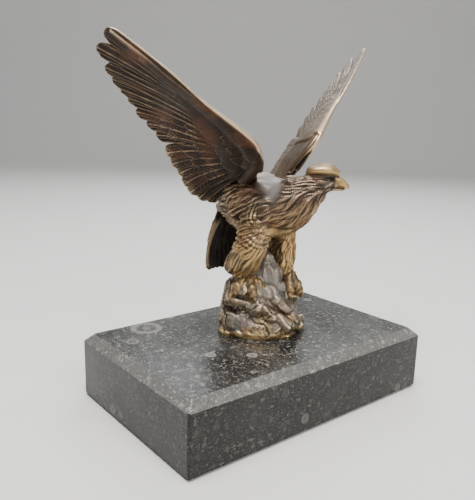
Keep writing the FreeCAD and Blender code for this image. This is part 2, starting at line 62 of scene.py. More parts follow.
# ---------------------------------------------------------------- plain mesh building
def spline(rows, steps):
    """Catmull-Rom through rows of numbers, with steps samples to a span."""
    rows = np.asarray(rows, float)
    padded = np.vstack([2 * rows[0] - rows[1], rows, 2 * rows[-1] - rows[-2]])
    out = []
    for i in range(len(rows) - 1):
        p0, p1, p2, p3 = padded[i:i + 4]
        for t in np.linspace(0, 1, steps, endpoint=False):
            out.append(0.5 * ((2 * p1) + (p2 - p0) * t + (2 * p0 - 5 * p1 + 4 * p2 - p3) * t ** 2
                              + (3 * p1 - p0 - 3 * p2 + p3) * t ** 3))
    out.append(rows[-1])
    return np.array(out)


def grid_faces(rows, columns, wrap):
    faces = []
    last = columns if wrap else columns - 1
    for i in range(rows - 1):
        for j in range(last):
            k = (j + 1) % columns
            faces.append((i * columns + j, i * columns + k, (i + 1) * columns + k, (i + 1) * columns + j))
    return faces


DOME = ((-0.96, 0.28), (-0.8, 0.6), (-0.45, 0.89))      # rings of a tube's end: along, size


def tube(rows, steps=5, around=28, across=(1.0, 0.0, 0.0)):
    """Closed skin through rows of (x, y, z, half width, half height); rounded at both ends."""
    path = spline(rows, steps)
    centres, wide, tall = path[:, :3], np.maximum(path[:, 3], 0.15), np.maximum(path[:, 4], 0.15)
    ways = unit(np.gradient(centres, axis=0))
    ends = []
    for end, sign in ((0, 1), (-1, -1)):
        reach = sign * min(wide[end], tall[end])
        ends.append([(centres[end] + ways[end] * along * reach, wide[end] * size, tall[end] * size, ways[end])
                     for along, size in DOME])
    rings = ends[0] + list(zip(centres, wide, tall, ways)) + ends[1][::-1]
    turns = np.linspace(0, 2 * math.pi, around, endpoint=False)
    points = []
    side = np.array(across, float)
    for centre, half, height, way in rings:
        side = unit(side - way * (side @ way))
        rise = np.cross(way, side)
        points += [centre + side * half * math.cos(a) + rise * height * math.sin(a) for a in turns]
    faces = grid_faces(len(rings), around, True)
    faces.append(tuple(reversed(range(around))))
    faces.append(tuple(range(len(points) - around, len(points))))
    return np.array(points), faces


def ball(centre, radii, turn=(0, 0, 0), around=24):
    """An ellipsoid, turned by Euler angles in degrees."""
    rings = around // 2
    about_x, about_y, about_z = (Matrix.Rotation(math.radians(a), 3, axis) for a, axis in zip(turn, "XYZ"))
    spin = np.array(about_z @ about_y @ about_x)
    points = []
    for i in range(1, rings):
        polar = math.pi * i / rings
        for j in range(around):
            a = 2 * math.pi * j / around
            points.append((math.sin(polar) * math.cos(a), math.sin(polar) * math.sin(a), math.cos(polar)))
    points = np.array(points) * np.array(radii, float) @ spin.T + np.asarray(centre, float)
    faces = [tuple(reversed(f)) for f in grid_faces(rings - 1, around, True)]
    faces.append(tuple(range(around)))
    faces.append(tuple(reversed(range((rings - 2) * around, (rings - 1) * around))))
    return points, faces


def placed(name, data):
    thing = bpy.data.objects.new(name, data)
    bpy.context.scene.collection.objects.link(thing)
    return thing


def meshed(name, points, faces, material):
    """A smooth mesh object of one material; the points are in metres."""
    mesh = bpy.data.meshes.new(name)
    mesh.from_pydata(points.tolist(), [], faces)
    mesh.polygons.foreach_set("use_smooth", [True] * len(mesh.polygons))
    mesh.materials.append(material)
    return placed(name, mesh)


def fused(parts, voxel, relax=1):
    """Fuse overlapping skins into one by voxels, relax it, and return it for sculpting."""
    points = np.vstack([part[0] for part in parts])
    faces, start = [], 0
    for places, rings in parts:
        faces += [tuple(i + start for i in face) for face in rings]
        start += len(places)
    mesh = bpy.data.meshes.new("work")
    mesh.from_pydata(points.tolist(), [], faces)
    work = placed("work", mesh)
    fuse = work.modifiers.new("fuse", "REMESH")
    fuse.mode = "VOXEL"
    fuse.voxel_size = voxel
    soften = work.modifiers.new("soften", "SMOOTH")
    soften.factor = 0.5
    soften.iterations = relax
    cooked = work.evaluated_get(bpy.context.evaluated_depsgraph_get())
    done = cooked.to_mesh()
    places = np.empty(len(done.vertices) * 3)
    done.vertices.foreach_get("co", places)
    loops = np.empty(len(done.loops), int)
    done.loops.foreach_get("vertex_index", loops)
    cooked.to_mesh_clear()
    bpy.data.objects.remove(work)
    bpy.data.meshes.remove(mesh)
    return Skin(places.reshape(-1, 3), loops.reshape(-1, 4))


class Skin:
    """A quad mesh being sculpted: points, normals, edges, raised height and tint."""

    def __init__(self, points, quads):
        self.p = points
        self.q = quads
        pairs = np.vstack([quads[:, [i, (i + 1) % 4]] for i in range(4)])
        self.edges = np.unique(np.sort(pairs, axis=1), axis=0)
        self.degree = np.bincount(self.edges.ravel(), minlength=len(points)).astype(float)
        self.rise = np.zeros(len(points))
        self.tint = np.zeros(len(points))
        self.shade = np.zeros(len(points))
        self.refresh()

    def refresh(self):
        a, b, c, d = (self.p[self.q[:, i]] for i in range(4))
        face = np.cross(c - a, d - b)
        normals = np.zeros_like(self.p)
        for i in range(4):
            for axis in range(3):
                normals[:, axis] += np.bincount(self.q[:, i], weights=face[:, axis], minlength=len(self.p))
        self.n = normals / np.maximum(np.linalg.norm(normals, axis=1, keepdims=True), 1e-12)
        self.tree = kdtree.KDTree(len(self.p))
        for i, point in enumerate(self.p):
            self.tree.insert(point, i)
        self.tree.balance()

    def spread(self, values, times):
        """Average each vertex's value with its neighbours' a number of times."""
        out = np.array(values, float)
        i, j = self.edges[:, 0], self.edges[:, 1]
        for _ in range(times):
            total = (np.bincount(i, weights=out[j], minlength=len(out))
                     + np.bincount(j, weights=out[i], minlength=len(out)))
            out = 0.5 * out + 0.5 * total / self.degree
        return out

    def softened(self, times):
        """The points, averaged as spread does."""
        return np.stack([self.spread(axis, times) for axis in self.p.T], axis=1)

    def comb(self, ways, step):
        """For each vertex, the vertices one step ahead and behind along the way the hair lies."""
        flat = unit(ways - self.n * np.einsum("ij,ij->i", ways, self.n)[:, None] + 1e-9) * step
        self.ahead = np.array([self.tree.find(Vector(v))[1] for v in self.p + flat])
        self.behind = np.array([self.tree.find(Vector(v))[1] for v in self.p - flat])

    def strands(self, size, seed, times):
        """Noise drawn out along the combed ways: -1 to 1."""
        out = lumps(self.p, size, seed)
        for _ in range(times):
            out = (out + out[self.ahead] + out[self.behind]) / 3
        return np.tanh(1.1 * out / out.std())

    def near(self, point, radius):
        return np.array([hit[1] for hit in self.tree.find_range(point, radius)], int)

    def scatter(self, spacing, where, seed):
        """Well spaced vertices: spacing and where are arrays over the vertices."""
        order = np.random.default_rng(seed).permutation(len(self.p))
        free = where.copy()
        chosen = []
        for k in order:
            if free[k]:
                chosen.append(k)
                free[self.near(self.p[k], spacing[k])] = False
        return chosen

    def stamp(self, root, way, normal, length, half, lift, round_tip=True, start=0.2, crown=0.35,
              strands=0, groove=0.12, bend=0.0, soft=0.45):
        """Raise one feather or tuft: it rises from its root and drops sharply round its outline."""
        way = unit(way - normal * (way @ normal))
        side = np.cross(normal, way)
        near = self.near(root + way * length * 0.5, length * 0.5 + half + 1.5)
        if len(near) == 0:
            return
        q = self.p[near] - root
        u = q @ way / length
        s = (q @ side) / half + bend * u * u
        tipness = np.clip((u - 0.55) / 0.45, 0, 1)
        outline = np.sqrt(np.clip(1 - tipness ** 2, 0, 1)) if round_tip else 1 - tipness ** 1.4
        outline = outline * np.sqrt(np.clip(u / 0.3, 0.05, 1))
        inside = smooth(0, soft / half, outline - np.abs(s)) * smooth(0.0, 0.12, u)
        inside *= smooth(0, 0.4 / length, 1 - u) * (self.n[near] @ normal > 0.2)
        inside *= smooth(1.0, 0.6, np.abs(q @ normal) / (0.35 * length + half))
        arch = 1 - crown * np.clip(s / np.maximum(outline, 0.2), -1, 1) ** 2
        height = lift * (start + (1 - start) * u) * arch
        if strands:
            height = height - groove * (0.5 + 0.5 * np.cos(math.pi * strands * s)) * smooth(0.02, 0.25, u)
        self.rise[near] = np.maximum(self.rise[near], height * inside)

    def raise_all(self):
        self.p = self.p + self.n * self.rise[:, None]
        self.refresh()

    def tones(self):
        """Ridge (fine), relief (broad), tint and shade (half is neutral) for the bronze: patina and wear,
        with painted highlights in the tint and painted shade and sheen in the shade.
        """
        channels = []
        for times, width in ((2, 2.6), (14, 2.4)):
            proud = np.einsum("ij,ij->i", self.p - self.softened(times), self.n)
            channels.append(0.5 + proud / (width * proud.std() + 1e-9) * 0.5)
        return np.clip(np.stack([*channels, self.tint, 0.5 + 0.5 * self.shade], axis=1), 0, 1)

    def build(self, name, material, node):
        """Write the sculpted skin as a piece that replaces a CAD node."""
        piece = meshed(name, self.p * MM, self.q.tolist(), material)
        tone = piece.data.color_attributes.new("tone", "FLOAT_COLOR", "POINT")
        tone.data.foreach_set("color", self.tones().ravel())
        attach(piece, "root")
        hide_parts(node)


def lumps(points, scale, seed, spin=(17.3, 5.1, 9.7)):
    """Smooth noise over points, about -1 to 1; scale is the lumps' size in millimetres."""
    shift = Vector([seed * part for part in spin])
    return np.array([noise.noise(Vector(p) / scale + shift) for p in points])


def ridges(points, scale, seed):
    """Sharp-crested noise, about 0 to 1."""
    return 1 - 2 * np.abs(lumps(points, scale, seed, (3.7, 11.9, 7.3)))


# ---------------------------------------------------------------- materials
class Nodes:
    """A short hand for building a node material."""

    def __init__(self, name):
        self.material = bpy.data.materials.new(name)
        self.material.use_nodes = True
        self.tree = self.material.node_tree
        self.shader = self.tree.nodes["Principled BSDF"]
        coords = self.tree.nodes.new("ShaderNodeTexCoord")
        self.place = coords.outputs["Object"]

    def link(self, source, target):
        self.tree.links.new(source, target)

    def add(self, kind, **values):
        node = self.tree.nodes.new(kind)
        for key, value in values.items():
            if key in node.inputs:
                node.inputs[key].default_value = value
            else:
                setattr(node, key, value)
        return node

    def noise(self, scale, detail=4.0, rough=0.55, place=None, distortion=0.0):
        node = self.add("ShaderNodeTexNoise", Scale=scale, Detail=detail, Roughness=rough,
                        Distortion=distortion)
        self.link(place or self.place, node.inputs["Vector"])
        return node.outputs["Fac"]

    def cells(self, scale, place):
        """The distance from each cell's middle, and random numbers that are one for a whole cell."""
        node = self.add("ShaderNodeTexVoronoi", Scale=scale)
        self.link(place, node.inputs["Vector"])
        pick = self.add("ShaderNodeSeparateColor")
        self.link(node.outputs["Color"], pick.inputs["Color"])
        return node.outputs["Distance"], pick.outputs

    def ramp(self, factor, *stops):
        """A colour ramp from (position, colour or grey) stops."""
        node = self.add("ShaderNodeValToRGB")
        bar = node.color_ramp.elements
        while len(bar) < len(stops):
            bar.new(0.5)
        for item, (where, colour) in zip(bar, stops):
            item.position = where
            item.color = (colour, colour, colour, 1) if isinstance(colour, (int, float)) else (*colour, 1)
        self.link(factor, node.inputs["Fac"])
        return node.outputs["Color"]

    def mix(self, factor, a, b, blend="MIX"):
        node = self.add("ShaderNodeMix", data_type="RGBA", blend_type=blend)
        for socket, value in ((node.inputs[0], factor), (node.inputs[6], a), (node.inputs[7], b)):
            if isinstance(value, (int, float)):
                socket.default_value = value
            elif isinstance(value, tuple):
                socket.default_value = (*value, 1)
            else:
                self.link(value, socket)
        return node.outputs[2]

    def calc(self, operation, a, b, clamp=False):
        node = self.add("ShaderNodeMath", operation=operation, use_clamp=clamp)
        for socket, value in zip(node.inputs, (a, b)):
            if isinstance(value, (int, float)):
                socket.default_value = value
            else:
                self.link(value, socket)
        return node.outputs[0]

    def add_up(self, a, b, clamp=False):
        return self.calc("ADD", a, b, clamp)

    def times(self, a, b, clamp=False):
        return self.calc("MULTIPLY", a, b, clamp)

    def stretch(self, scale, turn=(0, 0, 0)):
        node = self.add("ShaderNodeMapping")
        node.inputs["Scale"].default_value = scale
        node.inputs["Rotation"].default_value = [math.radians(a) for a in turn]
        self.link(self.place, node.inputs["Vector"])
        return node.outputs["Vector"]

    def around(self, value, gain):
        """Noise brought round nought and scaled."""
        return self.times(self.calc("SUBTRACT", value, 0.5), gain)

    def bump(self, height, strength, distance):
        node = self.add("ShaderNodeBump", Strength=strength, Distance=distance)
        self.link(height, node.inputs["Height"])
        self.link(node.outputs["Normal"], self.shader.inputs["Normal"])

    def to(self, socket, value):
        if isinstance(value, (int, float)):
            self.shader.inputs[socket].default_value = value
        else:
            self.link(value, self.shader.inputs[socket])


def bronze(name, dark, mid, worn, rub_and_highlight, grey, gloss=0.42):
    """Patinated cast bronze: dark in the cavities, brown between, rubbed bright on the ridges; the tone's
    alpha adds painted shade below half and a painted pale sheen above it.
    """
    m = Nodes(name)
    tone = m.add("ShaderNodeAttribute", attribute_name="tone")
    split = m.add("ShaderNodeSeparateColor")
    m.link(tone.outputs["Color"], split.inputs["Color"])
    ridge, relief, tint = split.outputs
    blotch = m.noise(95, 5, 0.6)
    speck = m.noise(620, 3, 0.6)
    level = m.add_up(m.times(ridge, 0.62), m.times(relief, 0.38))
    level = m.add_up(level, m.around(blotch, 0.42))
    level = m.add_up(level, m.around(speck, 0.16), clamp=True)
    half_worn = tuple(0.55 * a + 0.45 * b for a, b in zip(mid, worn))
    metal = m.ramp(level, (0.25, dark), (0.50, mid), (0.70, half_worn), (0.88, worn))
    red = m.mix(m.ramp(m.noise(60, 3, 0.5), (0.52, 0.0), (0.68, 0.5)), metal, (0.17, 0.062, 0.03), "MIX")
    clouds = m.noise(48, 4, 0.6, distortion=0.6)
    haze = m.mix(m.ramp(clouds, (0.5, 0.0), (0.72, grey)), red, (0.23, 0.225, 0.21))
    # The tint mixes in the rubbed colour: rubbed wear on beak, feet and ridges, and painted highlights on the
    # wings' leading edge and upper faces and on the tail's rim.
    gold = m.mix(m.times(tint, m.ramp(level, (0.35, 0.12), (0.62, 1.0))), haze, rub_and_highlight)
    shade = tone.outputs["Alpha"]
    # Painted shade: where the tone's alpha is below half, the colour goes towards the darkest patina.
    painted_shade = m.times(m.calc("SUBTRACT", 0.5, shade), 1.7, clamp=True)
    # Above half, the alpha mixes in pale grey and lowers the metal: a painted sheen on the bird and wings,
    # and the grey patina on the rock.
    patchy = m.ramp(m.noise(70, 4), (0.3, 0.9), (0.7, 1.9))
    pale = m.times(m.calc("SUBTRACT", shade, 0.5), patchy, clamp=True)
    gold = m.mix(painted_shade, gold, m.mix(blotch, dark, tuple(0.5 * c for c in dark)))
    m.to("Base Color", m.mix(pale, gold, m.mix(speck, (0.46, 0.44, 0.41), (0.30, 0.285, 0.265))))
    lustre = m.calc("SUBTRACT", 1.0, m.times(pale, 0.75))
    m.to("Metallic", m.times(m.ramp(level, (0.25, 0.45), (0.7, 0.92)), lustre))
    rough = m.ramp(level, (0.2, gloss + 0.2), (0.8, gloss - 0.08))
    m.to("Roughness", m.add_up(rough, m.around(m.noise(260, 3), 0.3)))
    fine, coarse = m.noise(900, 4, 0.6), m.noise(300, 3)
    grain = m.add_up(m.times(fine, 0.6), m.times(coarse, 0.7))
    m.bump(grain, 0.35, 0.00022)
    return m.material


FOSSILS = ((-54.6, 43, 10.5), (-72.6, 27.6, 4.0))      # x, y and radius on the upper face


def fossil_stone():
    """Polished black limestone full of small grey and cream shells, with a few round fossils."""
    m = Nodes("fossil_stone")
    colour = m.ramp(m.noise(60, 6, 0.7), (0.3, (0.0085, 0.0085, 0.009)), (0.55, (0.024, 0.024, 0.023)),
                    (0.75, (0.06, 0.058, 0.053)))
    layers = (  # scale, stretch, turn, share that stays dark, edge, darkest and lightest tint
        (1500, (1, 1, 1), (0, 0, 0), 0.55, 0.40, (0.06, 0.057, 0.05), (0.34, 0.31, 0.25)),
        (900, (1, 0.5, 1), (20, 35, 50), 0.60, 0.40, (0.08, 0.075, 0.066), (0.42, 0.38, 0.31)),
        (560, (0.5, 1, 1), (70, 10, 15), 0.72, 0.40, (0.08, 0.076, 0.068), (0.46, 0.42, 0.35)),
        (300, (1, 0.7, 0.6), (35, 60, 110), 0.80, 0.36, (0.07, 0.07, 0.066), (0.30, 0.285, 0.255)),
        (170, (1, 0.8, 0.7), (15, 20, 80), 0.90, 0.34, (0.07, 0.069, 0.066), (0.21, 0.20, 0.18)),
    )
    warp = m.add("ShaderNodeTexNoise", Scale=320.0, Detail=3.0)
    m.link(m.place, warp.inputs["Vector"])
    for scale, size, turn, share, edge, low, high in layers:
        place = m.stretch(size, turn)
        bent = m.add("ShaderNodeMix", data_type="VECTOR")
        bent.inputs[0].default_value = 0.004
        m.link(place, bent.inputs[4])
        m.link(warp.outputs["Color"], bent.inputs[5])
        away, chance = m.cells(scale, bent.outputs[1])
        shown = m.calc("GREATER_THAN", chance[0], share)
        inside = m.ramp(away, (edge - 0.05, 1.0), (edge + 0.03, 0.0))
        mottled = m.mix(chance[1], low, high)
        mottled = m.mix(m.noise(1500, 2), mottled, (0.03, 0.03, 0.03), "MIX")
        colour = m.mix(m.times(shown, inside), colour, mottled)
    away, chance = m.cells(82, m.stretch((1, 1, 1), (15, 40, 0)))
    disc = m.ramp(away, (0.0, 0.15), (0.07, 0.9), (0.12, 0.35), (0.17, 1.0), (0.27, 0.8), (0.3, 0.0))
    shell = m.mix(m.noise(700, 3), (0.17, 0.165, 0.15), (0.30, 0.28, 0.25))
    colour = m.mix(m.times(m.calc("GREATER_THAN", chance[0], 0.86), disc), colour, shell)
    facing = m.add("ShaderNodeNewGeometry")
    axes = m.add("ShaderNodeSeparateXYZ")
    m.link(facing.outputs["Normal"], axes.inputs[0])
    up = axes.outputs[2]
    bevel = m.times(m.ramp(up, (0.2, 0.0), (0.4, 1.0)), m.ramp(up, (0.85, 1.0), (0.97, 0.0)))
    for x, y, radius in FOSSILS:
        offset = m.add("ShaderNodeVectorMath", operation="SUBTRACT")
        m.link(m.place, offset.inputs[0])
        offset.inputs[1].default_value = (x * MM, y * MM, TOP * MM)
        span = m.add("ShaderNodeVectorMath", operation="LENGTH")
        m.link(offset.outputs[0], span.inputs[0])
        reach = m.add_up(m.calc("DIVIDE", span.outputs["Value"], radius * MM),
                       m.around(m.noise(300, 3), 0.35))
        ring = m.ramp(reach, (0.0, 0.7), (0.2, 0.5), (0.3, 0.0), (0.55, 0.05), (0.66, 0.75), (0.92, 0.6),
                      (1.0, 0.0))
        colour = m.mix(ring, colour, shell)
    # A painted highlight on the chamfer: grey is added where the face slopes.
    chamfer_highlight = m.mix(m.noise(900, 3), (0.13, 0.128, 0.12), (0.24, 0.235, 0.22))
    colour = m.mix(m.times(bevel, 0.5), colour, chamfer_highlight, "ADD")
    # Painted shade: the upright sides are darkened towards black.
    sides = m.mix(m.ramp(up, (0.2, 0.62), (0.6, 0.0)), colour, (0.006, 0.0065, 0.006))
    m.to("Base Color", sides)
    smear = m.ramp(m.noise(26, 4, 0.6), (0.35, 0.2), (0.7, 0.34))
    m.to("Roughness", m.mix(bevel, smear, (0.34, 0.34, 0.34)))
    m.to("Specular IOR Level", 0.28)
    m.bump(m.noise(420, 4, 0.6), 0.05, 0.0001)
    return m.material


def black_felt():
    """Pressed wool felt: dark, matt, with short tangled fibres."""
    m = Nodes("black_felt")
    fibre = m.noise(2600, 5, 0.7, place=m.stretch((1, 0.35, 1), (0, 0, 35)))
    cross = m.noise(2600, 5, 0.7, place=m.stretch((0.35, 1, 1), (0, 0, 10)))
    tangle = m.calc("MAXIMUM", fibre, cross)
    m.to("Base Color", m.ramp(tangle, (0.35, (0.006, 0.006, 0.007)), (0.75, (0.05, 0.05, 0.052))))
    m.to("Roughness", 0.95)
    m.to("Sheen Weight", 0.4)
    m.bump(tangle, 0.6, 0.0004)
    return m.material


def plated_steel():
    """Zinc plated fasteners: fine turning marks, dull spots and a warm passivation tint."""
    m = Nodes("plated_steel")
    marks = m.noise(900, 3, 0.6, place=m.stretch((0.2, 0.2, 4)))
    spots = m.noise(240, 4, 0.6)
    dull = m.ramp(spots, (0.45, 0.0), (0.7, 1.0))
    m.to("Base Color", m.mix(dull, (0.62, 0.61, 0.58), (0.46, 0.42, 0.33)))
    m.to("Metallic", 1.0)
    m.to("Roughness", m.ramp(marks, (0.3, 0.26), (0.7, 0.46)))
    m.bump(marks, 0.2, 0.00006)
    return m.material


# ---------------------------------------------------------------- wings
SPAN_WAY = unit(np.array([0.726, 0.347, 0.594]))
BACK_WAY = np.array([-0.024, 0.875, -0.483])
BACK_WAY = unit(BACK_WAY - SPAN_WAY * (BACK_WAY @ SPAN_WAY))
LIFT_WAY = np.cross(SPAN_WAY, BACK_WAY)
WRIST = bird(22.4, 22.2, 117.2)


def wing_to_frame(x, y, z):
    """From the wing's own sizes (out along the span, back over the chord, up from the sheet)."""
    x, y, z = (np.asarray(v, float)[..., None] for v in (x, y, z))
    return WRIST + x * SPAN_WAY + y * BACK_WAY + z * LIFT_WAY


def wing_from_frame(points):
    q = points - WRIST
    return q @ SPAN_WAY, q @ BACK_WAY, q @ LIFT_WAY


def camber(x, y):
    """How far the wing's sheet stands off its chord plane: hollow below, and drooping at the edges."""
    fade = smooth(100, 20, x)
    return -((y - 24) ** 2) / 2 * (0.0035 * fade + 0.0018) + 0.5


FLIGHT = [  # root x, root y, bow, tip x, tip y, half width: primaries from the outermost, then secondaries
    (34, 3.5, 1.5, 99.5, 3.6, 5.0), (28, 6, 3.5, 98.2, 16.5, 5.4), (24, 9, 4.5, 89, 25, 4.6),
    (20, 12, 5, 82.5, 29, 4.3), (16, 14, 5.5, 76, 31.2, 4.2), (13, 16, 6, 69.5, 34, 4.2),
    (10, 18, 6, 61.5, 38.5, 4.5), (7, 19, 6, 52.5, 41, 4.7), (4, 20, 6.5, 44, 44, 5.0),
    (1, 20, 7, 32, 51.3, 5.4), (-1.5, 21, 7, 24.6, 55.6, 5.3), (-4, 22, 7, 17.2, 58.6, 5.2),
    (-6, 23, 6.5, 9.6, 63.0, 5.2), (-8, 24, 6, 2.8, 66.0, 5.0), (-10, 25, 5, -4.0, 65.6, 4.8),
    (-12, 27, 4, -9.4, 63.0, 4.6),
]


def quill(feather, t):
    """Centre line of a feather: a quadratic curve bowed away from the body."""
    x0, y0, bow, x1, y1 = feather[:5]
    way = unit(np.array([x1 - x0, y1 - y0]))
    mx, my = 0.5 * (x0 + x1) + way[1] * bow, 0.5 * (y0 + y1) - way[0] * bow
    x = (1 - t) ** 2 * x0 + 2 * t * (1 - t) * mx + t ** 2 * x1
    y = (1 - t) ** 2 * y0 + 2 * t * (1 - t) * my + t ** 2 * y1
    return x, y


def vane(t):
    """Share of a feather's half width along its length, with a round tip."""
    tip = np.sqrt(np.clip(1 - np.clip((t - 0.9) / 0.1, 0, 1) ** 2, 0.02, 1))
    return (0.62 + 0.38 * smooth(0, 0.5, t)) * tip


def wing_sheet(x, y, z):
    """A place on the cambered sheet of the wing, z off its middle."""
    return wing_to_frame(x, y, camber(x, y) + z)


def blade(feather, order, place=wing_sheet, tilt=0.55, stout=1.0):
    """One flight feather as a thin, slightly twisted and arched blade."""
    rows, columns = 34, 9
    crowded = 0.88 + 0.12 * np.sin(np.linspace(0.1, 1, 10) * math.pi / 2)
    t = np.concatenate([np.linspace(0, 0.88, rows - 10), crowded])
    x, y = quill(feather, t)
    dx, dy = np.gradient(x), np.gradient(y)
    size = np.hypot(dx, dy)
    out_x, out_y = dy / size, -dx / size
    s = np.linspace(-1, 1, columns)
    half = feather[5] * vane(t)
    px = x[:, None] + out_x[:, None] * s * half[:, None]
    py = y[:, None] + out_y[:, None] * s * half[:, None]
    lean = tilt * s[None, :] * (0.4 + 0.6 * t[:, None])
    base = lean + 0.35 * (1 - s[None, :] ** 2) + 0.1 * (order % 2)
    thick = stout * (0.55 + 0.35 * (1 - s[None, :] ** 2)) * (1.15 - 0.4 * t[:, None])
    over = place(px, py, base + thick).reshape(-1, 3)
    under = place(px, py, base - thick).reshape(-1, 3)
    count = rows * columns
    top = grid_faces(rows, columns, False)
    faces = [tuple(reversed(f)) for f in top] + [tuple(i + count for i in f) for f in top]
    rim = ([i for i in range(columns)] + [i * columns + columns - 1 for i in range(1, rows)]
           + [(rows - 1) * columns + i for i in range(columns - 2, -1, -1)]
           + [i * columns for i in range(rows - 2, 0, -1)])
    for a, b in zip(rim, rim[1:] + rim[:1]):
        faces.append((a, b, b + count, a + count))
    return np.vstack([over, under]), faces


def wing_arm(points):
    """A tube in the wing's own sizes: rows of x, y, z, half width, half height."""
    return tube([(*wing_to_frame(*place), wide, tall) for *place, wide, tall in points], 6, 24, BACK_WAY)


def wing_relief(skin):
    """Feather steps, quills and barbs on both faces of the flight feathers."""
    x, y, z = wing_from_frame(skin.p)
    facing = skin.n @ LIFT_WAY
    best = np.full(len(x), 9.0)
    where_u = np.zeros(len(x))
    where_s = np.zeros(len(x))
    length = np.ones(len(x))
    for feather in FLIGHT:
        t = np.linspace(0, 1, 40)
        fx, fy = quill(feather, t)
        d = np.hypot(x[:, None] - fx, y[:, None] - fy)
        k = d.argmin(axis=1)
        gx, gy = np.gradient(fx), np.gradient(fy)
        size = np.hypot(gx, gy)
        s = ((x - fx[k]) * gy[k] - (y - fy[k]) * gx[k]) / size[k] / feather[5]
        shift = s - 0.18
        closer = np.abs(shift) < best
        best = np.where(closer, np.abs(shift), best)
        where_u = np.where(closer, t[k], where_u)
        where_s = np.where(closer, s, where_s)
        length = np.where(closer, math.hypot(feather[3] - feather[0], feather[4] - feather[1]), length)
    long_way = where_u * length
    barbs = np.abs(np.sin(math.pi * (long_way - np.abs(where_s) * 5.5) / 3.1)) - 0.5
    barbs = barbs * np.clip(0.6 + lumps(skin.p, 5, 14), 0, 1.2) * smooth(1.25, 0.95, best)
    quill_line = np.exp(-(where_s / 0.13) ** 2)
    seam = np.exp(-((best - 0.8) / 0.13) ** 2)
    inner = smooth(62, 34, x)
    shown = smooth(0.2, 0.42, where_u)
    smooth_zone = smooth(8, 17, y + 0.06 * x)
    under = smooth(-0.2, -0.5, facing)
    upper = smooth(0.2, 0.5, facing)
    height = shown * (0.32 * barbs * (0.4 + 0.6 * inner) + 0.42 * quill_line - 0.6 * seam)
    # Pale quill lines on the underside: a painted sheen.
    skin.shade = 0.62 * quill_line * shown * under * smooth_zone * smooth(-0.15, 0.3, lumps(skin.p, 9, 15))
    grain = 0.16 * np.sin(math.pi * where_s * 3.2) * shown * (1 - inner)
    # A step down before the wrist on the upper face, darkened there: painted shade.
    forearm = upper * smooth(1.5, -1.5, x - 3.5 - 0.4 * y) * smooth(34, 22, y)
    skin.shade -= 0.3 * forearm
    skin.rise -= 1.0 * forearm
    skin.rise += (height + grain) * (under + 0.35 * upper) * smooth_zone


def wing_coverts(skin, rows, face, seed):
    """Rows of small feathers on one face: (start x, y, end x, y, count, length, half, lift, lean)."""
    rng = random.Random(seed)
    for x0, y0, x1, y1, count, length, half, lift, lean in rows:
        for i in range(count):
            f = (i + 0.5 * rng.random()) / max(count - 1, 1)
            x = x0 + (x1 - x0) * f + rng.uniform(-0.5, 0.5)
            y = y0 + (y1 - y0) * f + rng.uniform(-0.5, 0.5)
            spot = wing_to_frame(x, y, camber(x, y) + face * 1.5)
            near = skin.tree.find(Vector(spot))
            k = near[1]
            normal = skin.n[k]
            if (normal @ LIFT_WAY) * face < 0.2:
                continue
            angle = math.radians(lean * (1 - f) + (lean - 30) * f + rng.uniform(-6, 6))
            way = SPAN_WAY * math.cos(angle) + BACK_WAY * math.sin(angle)
            size = length * rng.uniform(0.88, 1.12)
            skin.stamp(skin.p[k], way, normal, size, half * rng.uniform(0.9, 1.1), lift,
                       strands=3, groove=0.1)


UNDER_ROWS = [
    (40, 22, -6, 42, 12, 15, 2.8, 0.5, 48), (30, 15, -8, 34, 12, 13, 2.5, 0.5, 54),
    (22, 10, -10, 27, 12, 11, 2.2, 0.5, 60), (14, 6, -12, 20, 11, 9, 1.9, 0.45, 66),
    (5, 3, -13, 13, 8, 7, 1.6, 0.4, 72),
]
UPPER_ROWS = [
    (84, 8, -6, 50, 26, 17, 3.4, 0.6, 26), (70, 6, -8, 40, 26, 12, 2.8, 0.5, 34),
    (58, 5, -9, 32, 24, 9, 2.3, 0.4, 42), (44, 4, -10, 24, 22, 7, 2.0, 0.3, 52),
]


ARMS = (  # the bone along the leading edge, the flesh behind it, and the skin over the feathers' roots
    ((-13, 30, -2.5, 4.6, 3.0), (-10.5, 19, -1.2, 4.2, 3.2), (-6.5, 10.5, 0.4, 3.9, 3.0),
     (0.5, 4.8, 1.2, 3.6, 2.7), (9, 3.2, 1.0, 3.0, 2.2), (24, 2.5, 0.5, 2.4, 1.7),
     (48, 2.0, 0, 1.9, 1.25), (74, 1.6, -0.2, 1.5, 1.0), (97, 1.5, -0.3, 1.1, 0.8)),
    ((-9, 18, -1.4, 8, 1.9), (-3, 12, 0.2, 8.5, 2.0), (8, 8.5, 0.4, 7, 1.8), (24, 6.8, 0.3, 5.4, 1.5),
     (42, 5.8, 0.1, 4.6, 1.3), (60, 5, 0, 3.6, 1.1), (78, 3.6, -0.1, 2.6, 0.9)),
    ((-13, 32, 0, 10, 1.7), (0, 24, 1.2, 13, 2.2), (16, 17, 1.2, 11, 2.0),
     (34, 13, 0.8, 9, 1.6), (52, 10, 0.5, 6, 1.3)),
)
REACH = {"left": 0.995, "right": 0.965}   # share of the drawn span
SWEEP = {"left": 5.0, "right": 3.4}     # degrees the tip is swung forward about the wrist
LIFT = {"left": 1.8, "right": -1.8}     # degrees the wing is raised about the shoulder


def relief_tip(x, y):
    """Close to 1 at the inner flight feathers' tips, which are rubbed."""
    near = np.full(len(x), 99.0)
    for feather in FLIGHT[9:]:
        near = np.minimum(near, np.hypot(x - feather[3], y - feather[4]))
    return np.clip(1 - near / 14, 0, 1)


def swung(points, pivot, degrees, first, second):
    """Points turned about a pivot, in the plane of two axes."""
    c, s = math.cos(math.radians(degrees)), math.sin(math.radians(degrees))
    q = points - pivot
    turned = q.copy()
    turned[:, first] = q[:, first] * c - q[:, second] * s
    turned[:, second] = q[:, first] * s + q[:, second] * c
    return pivot + turned


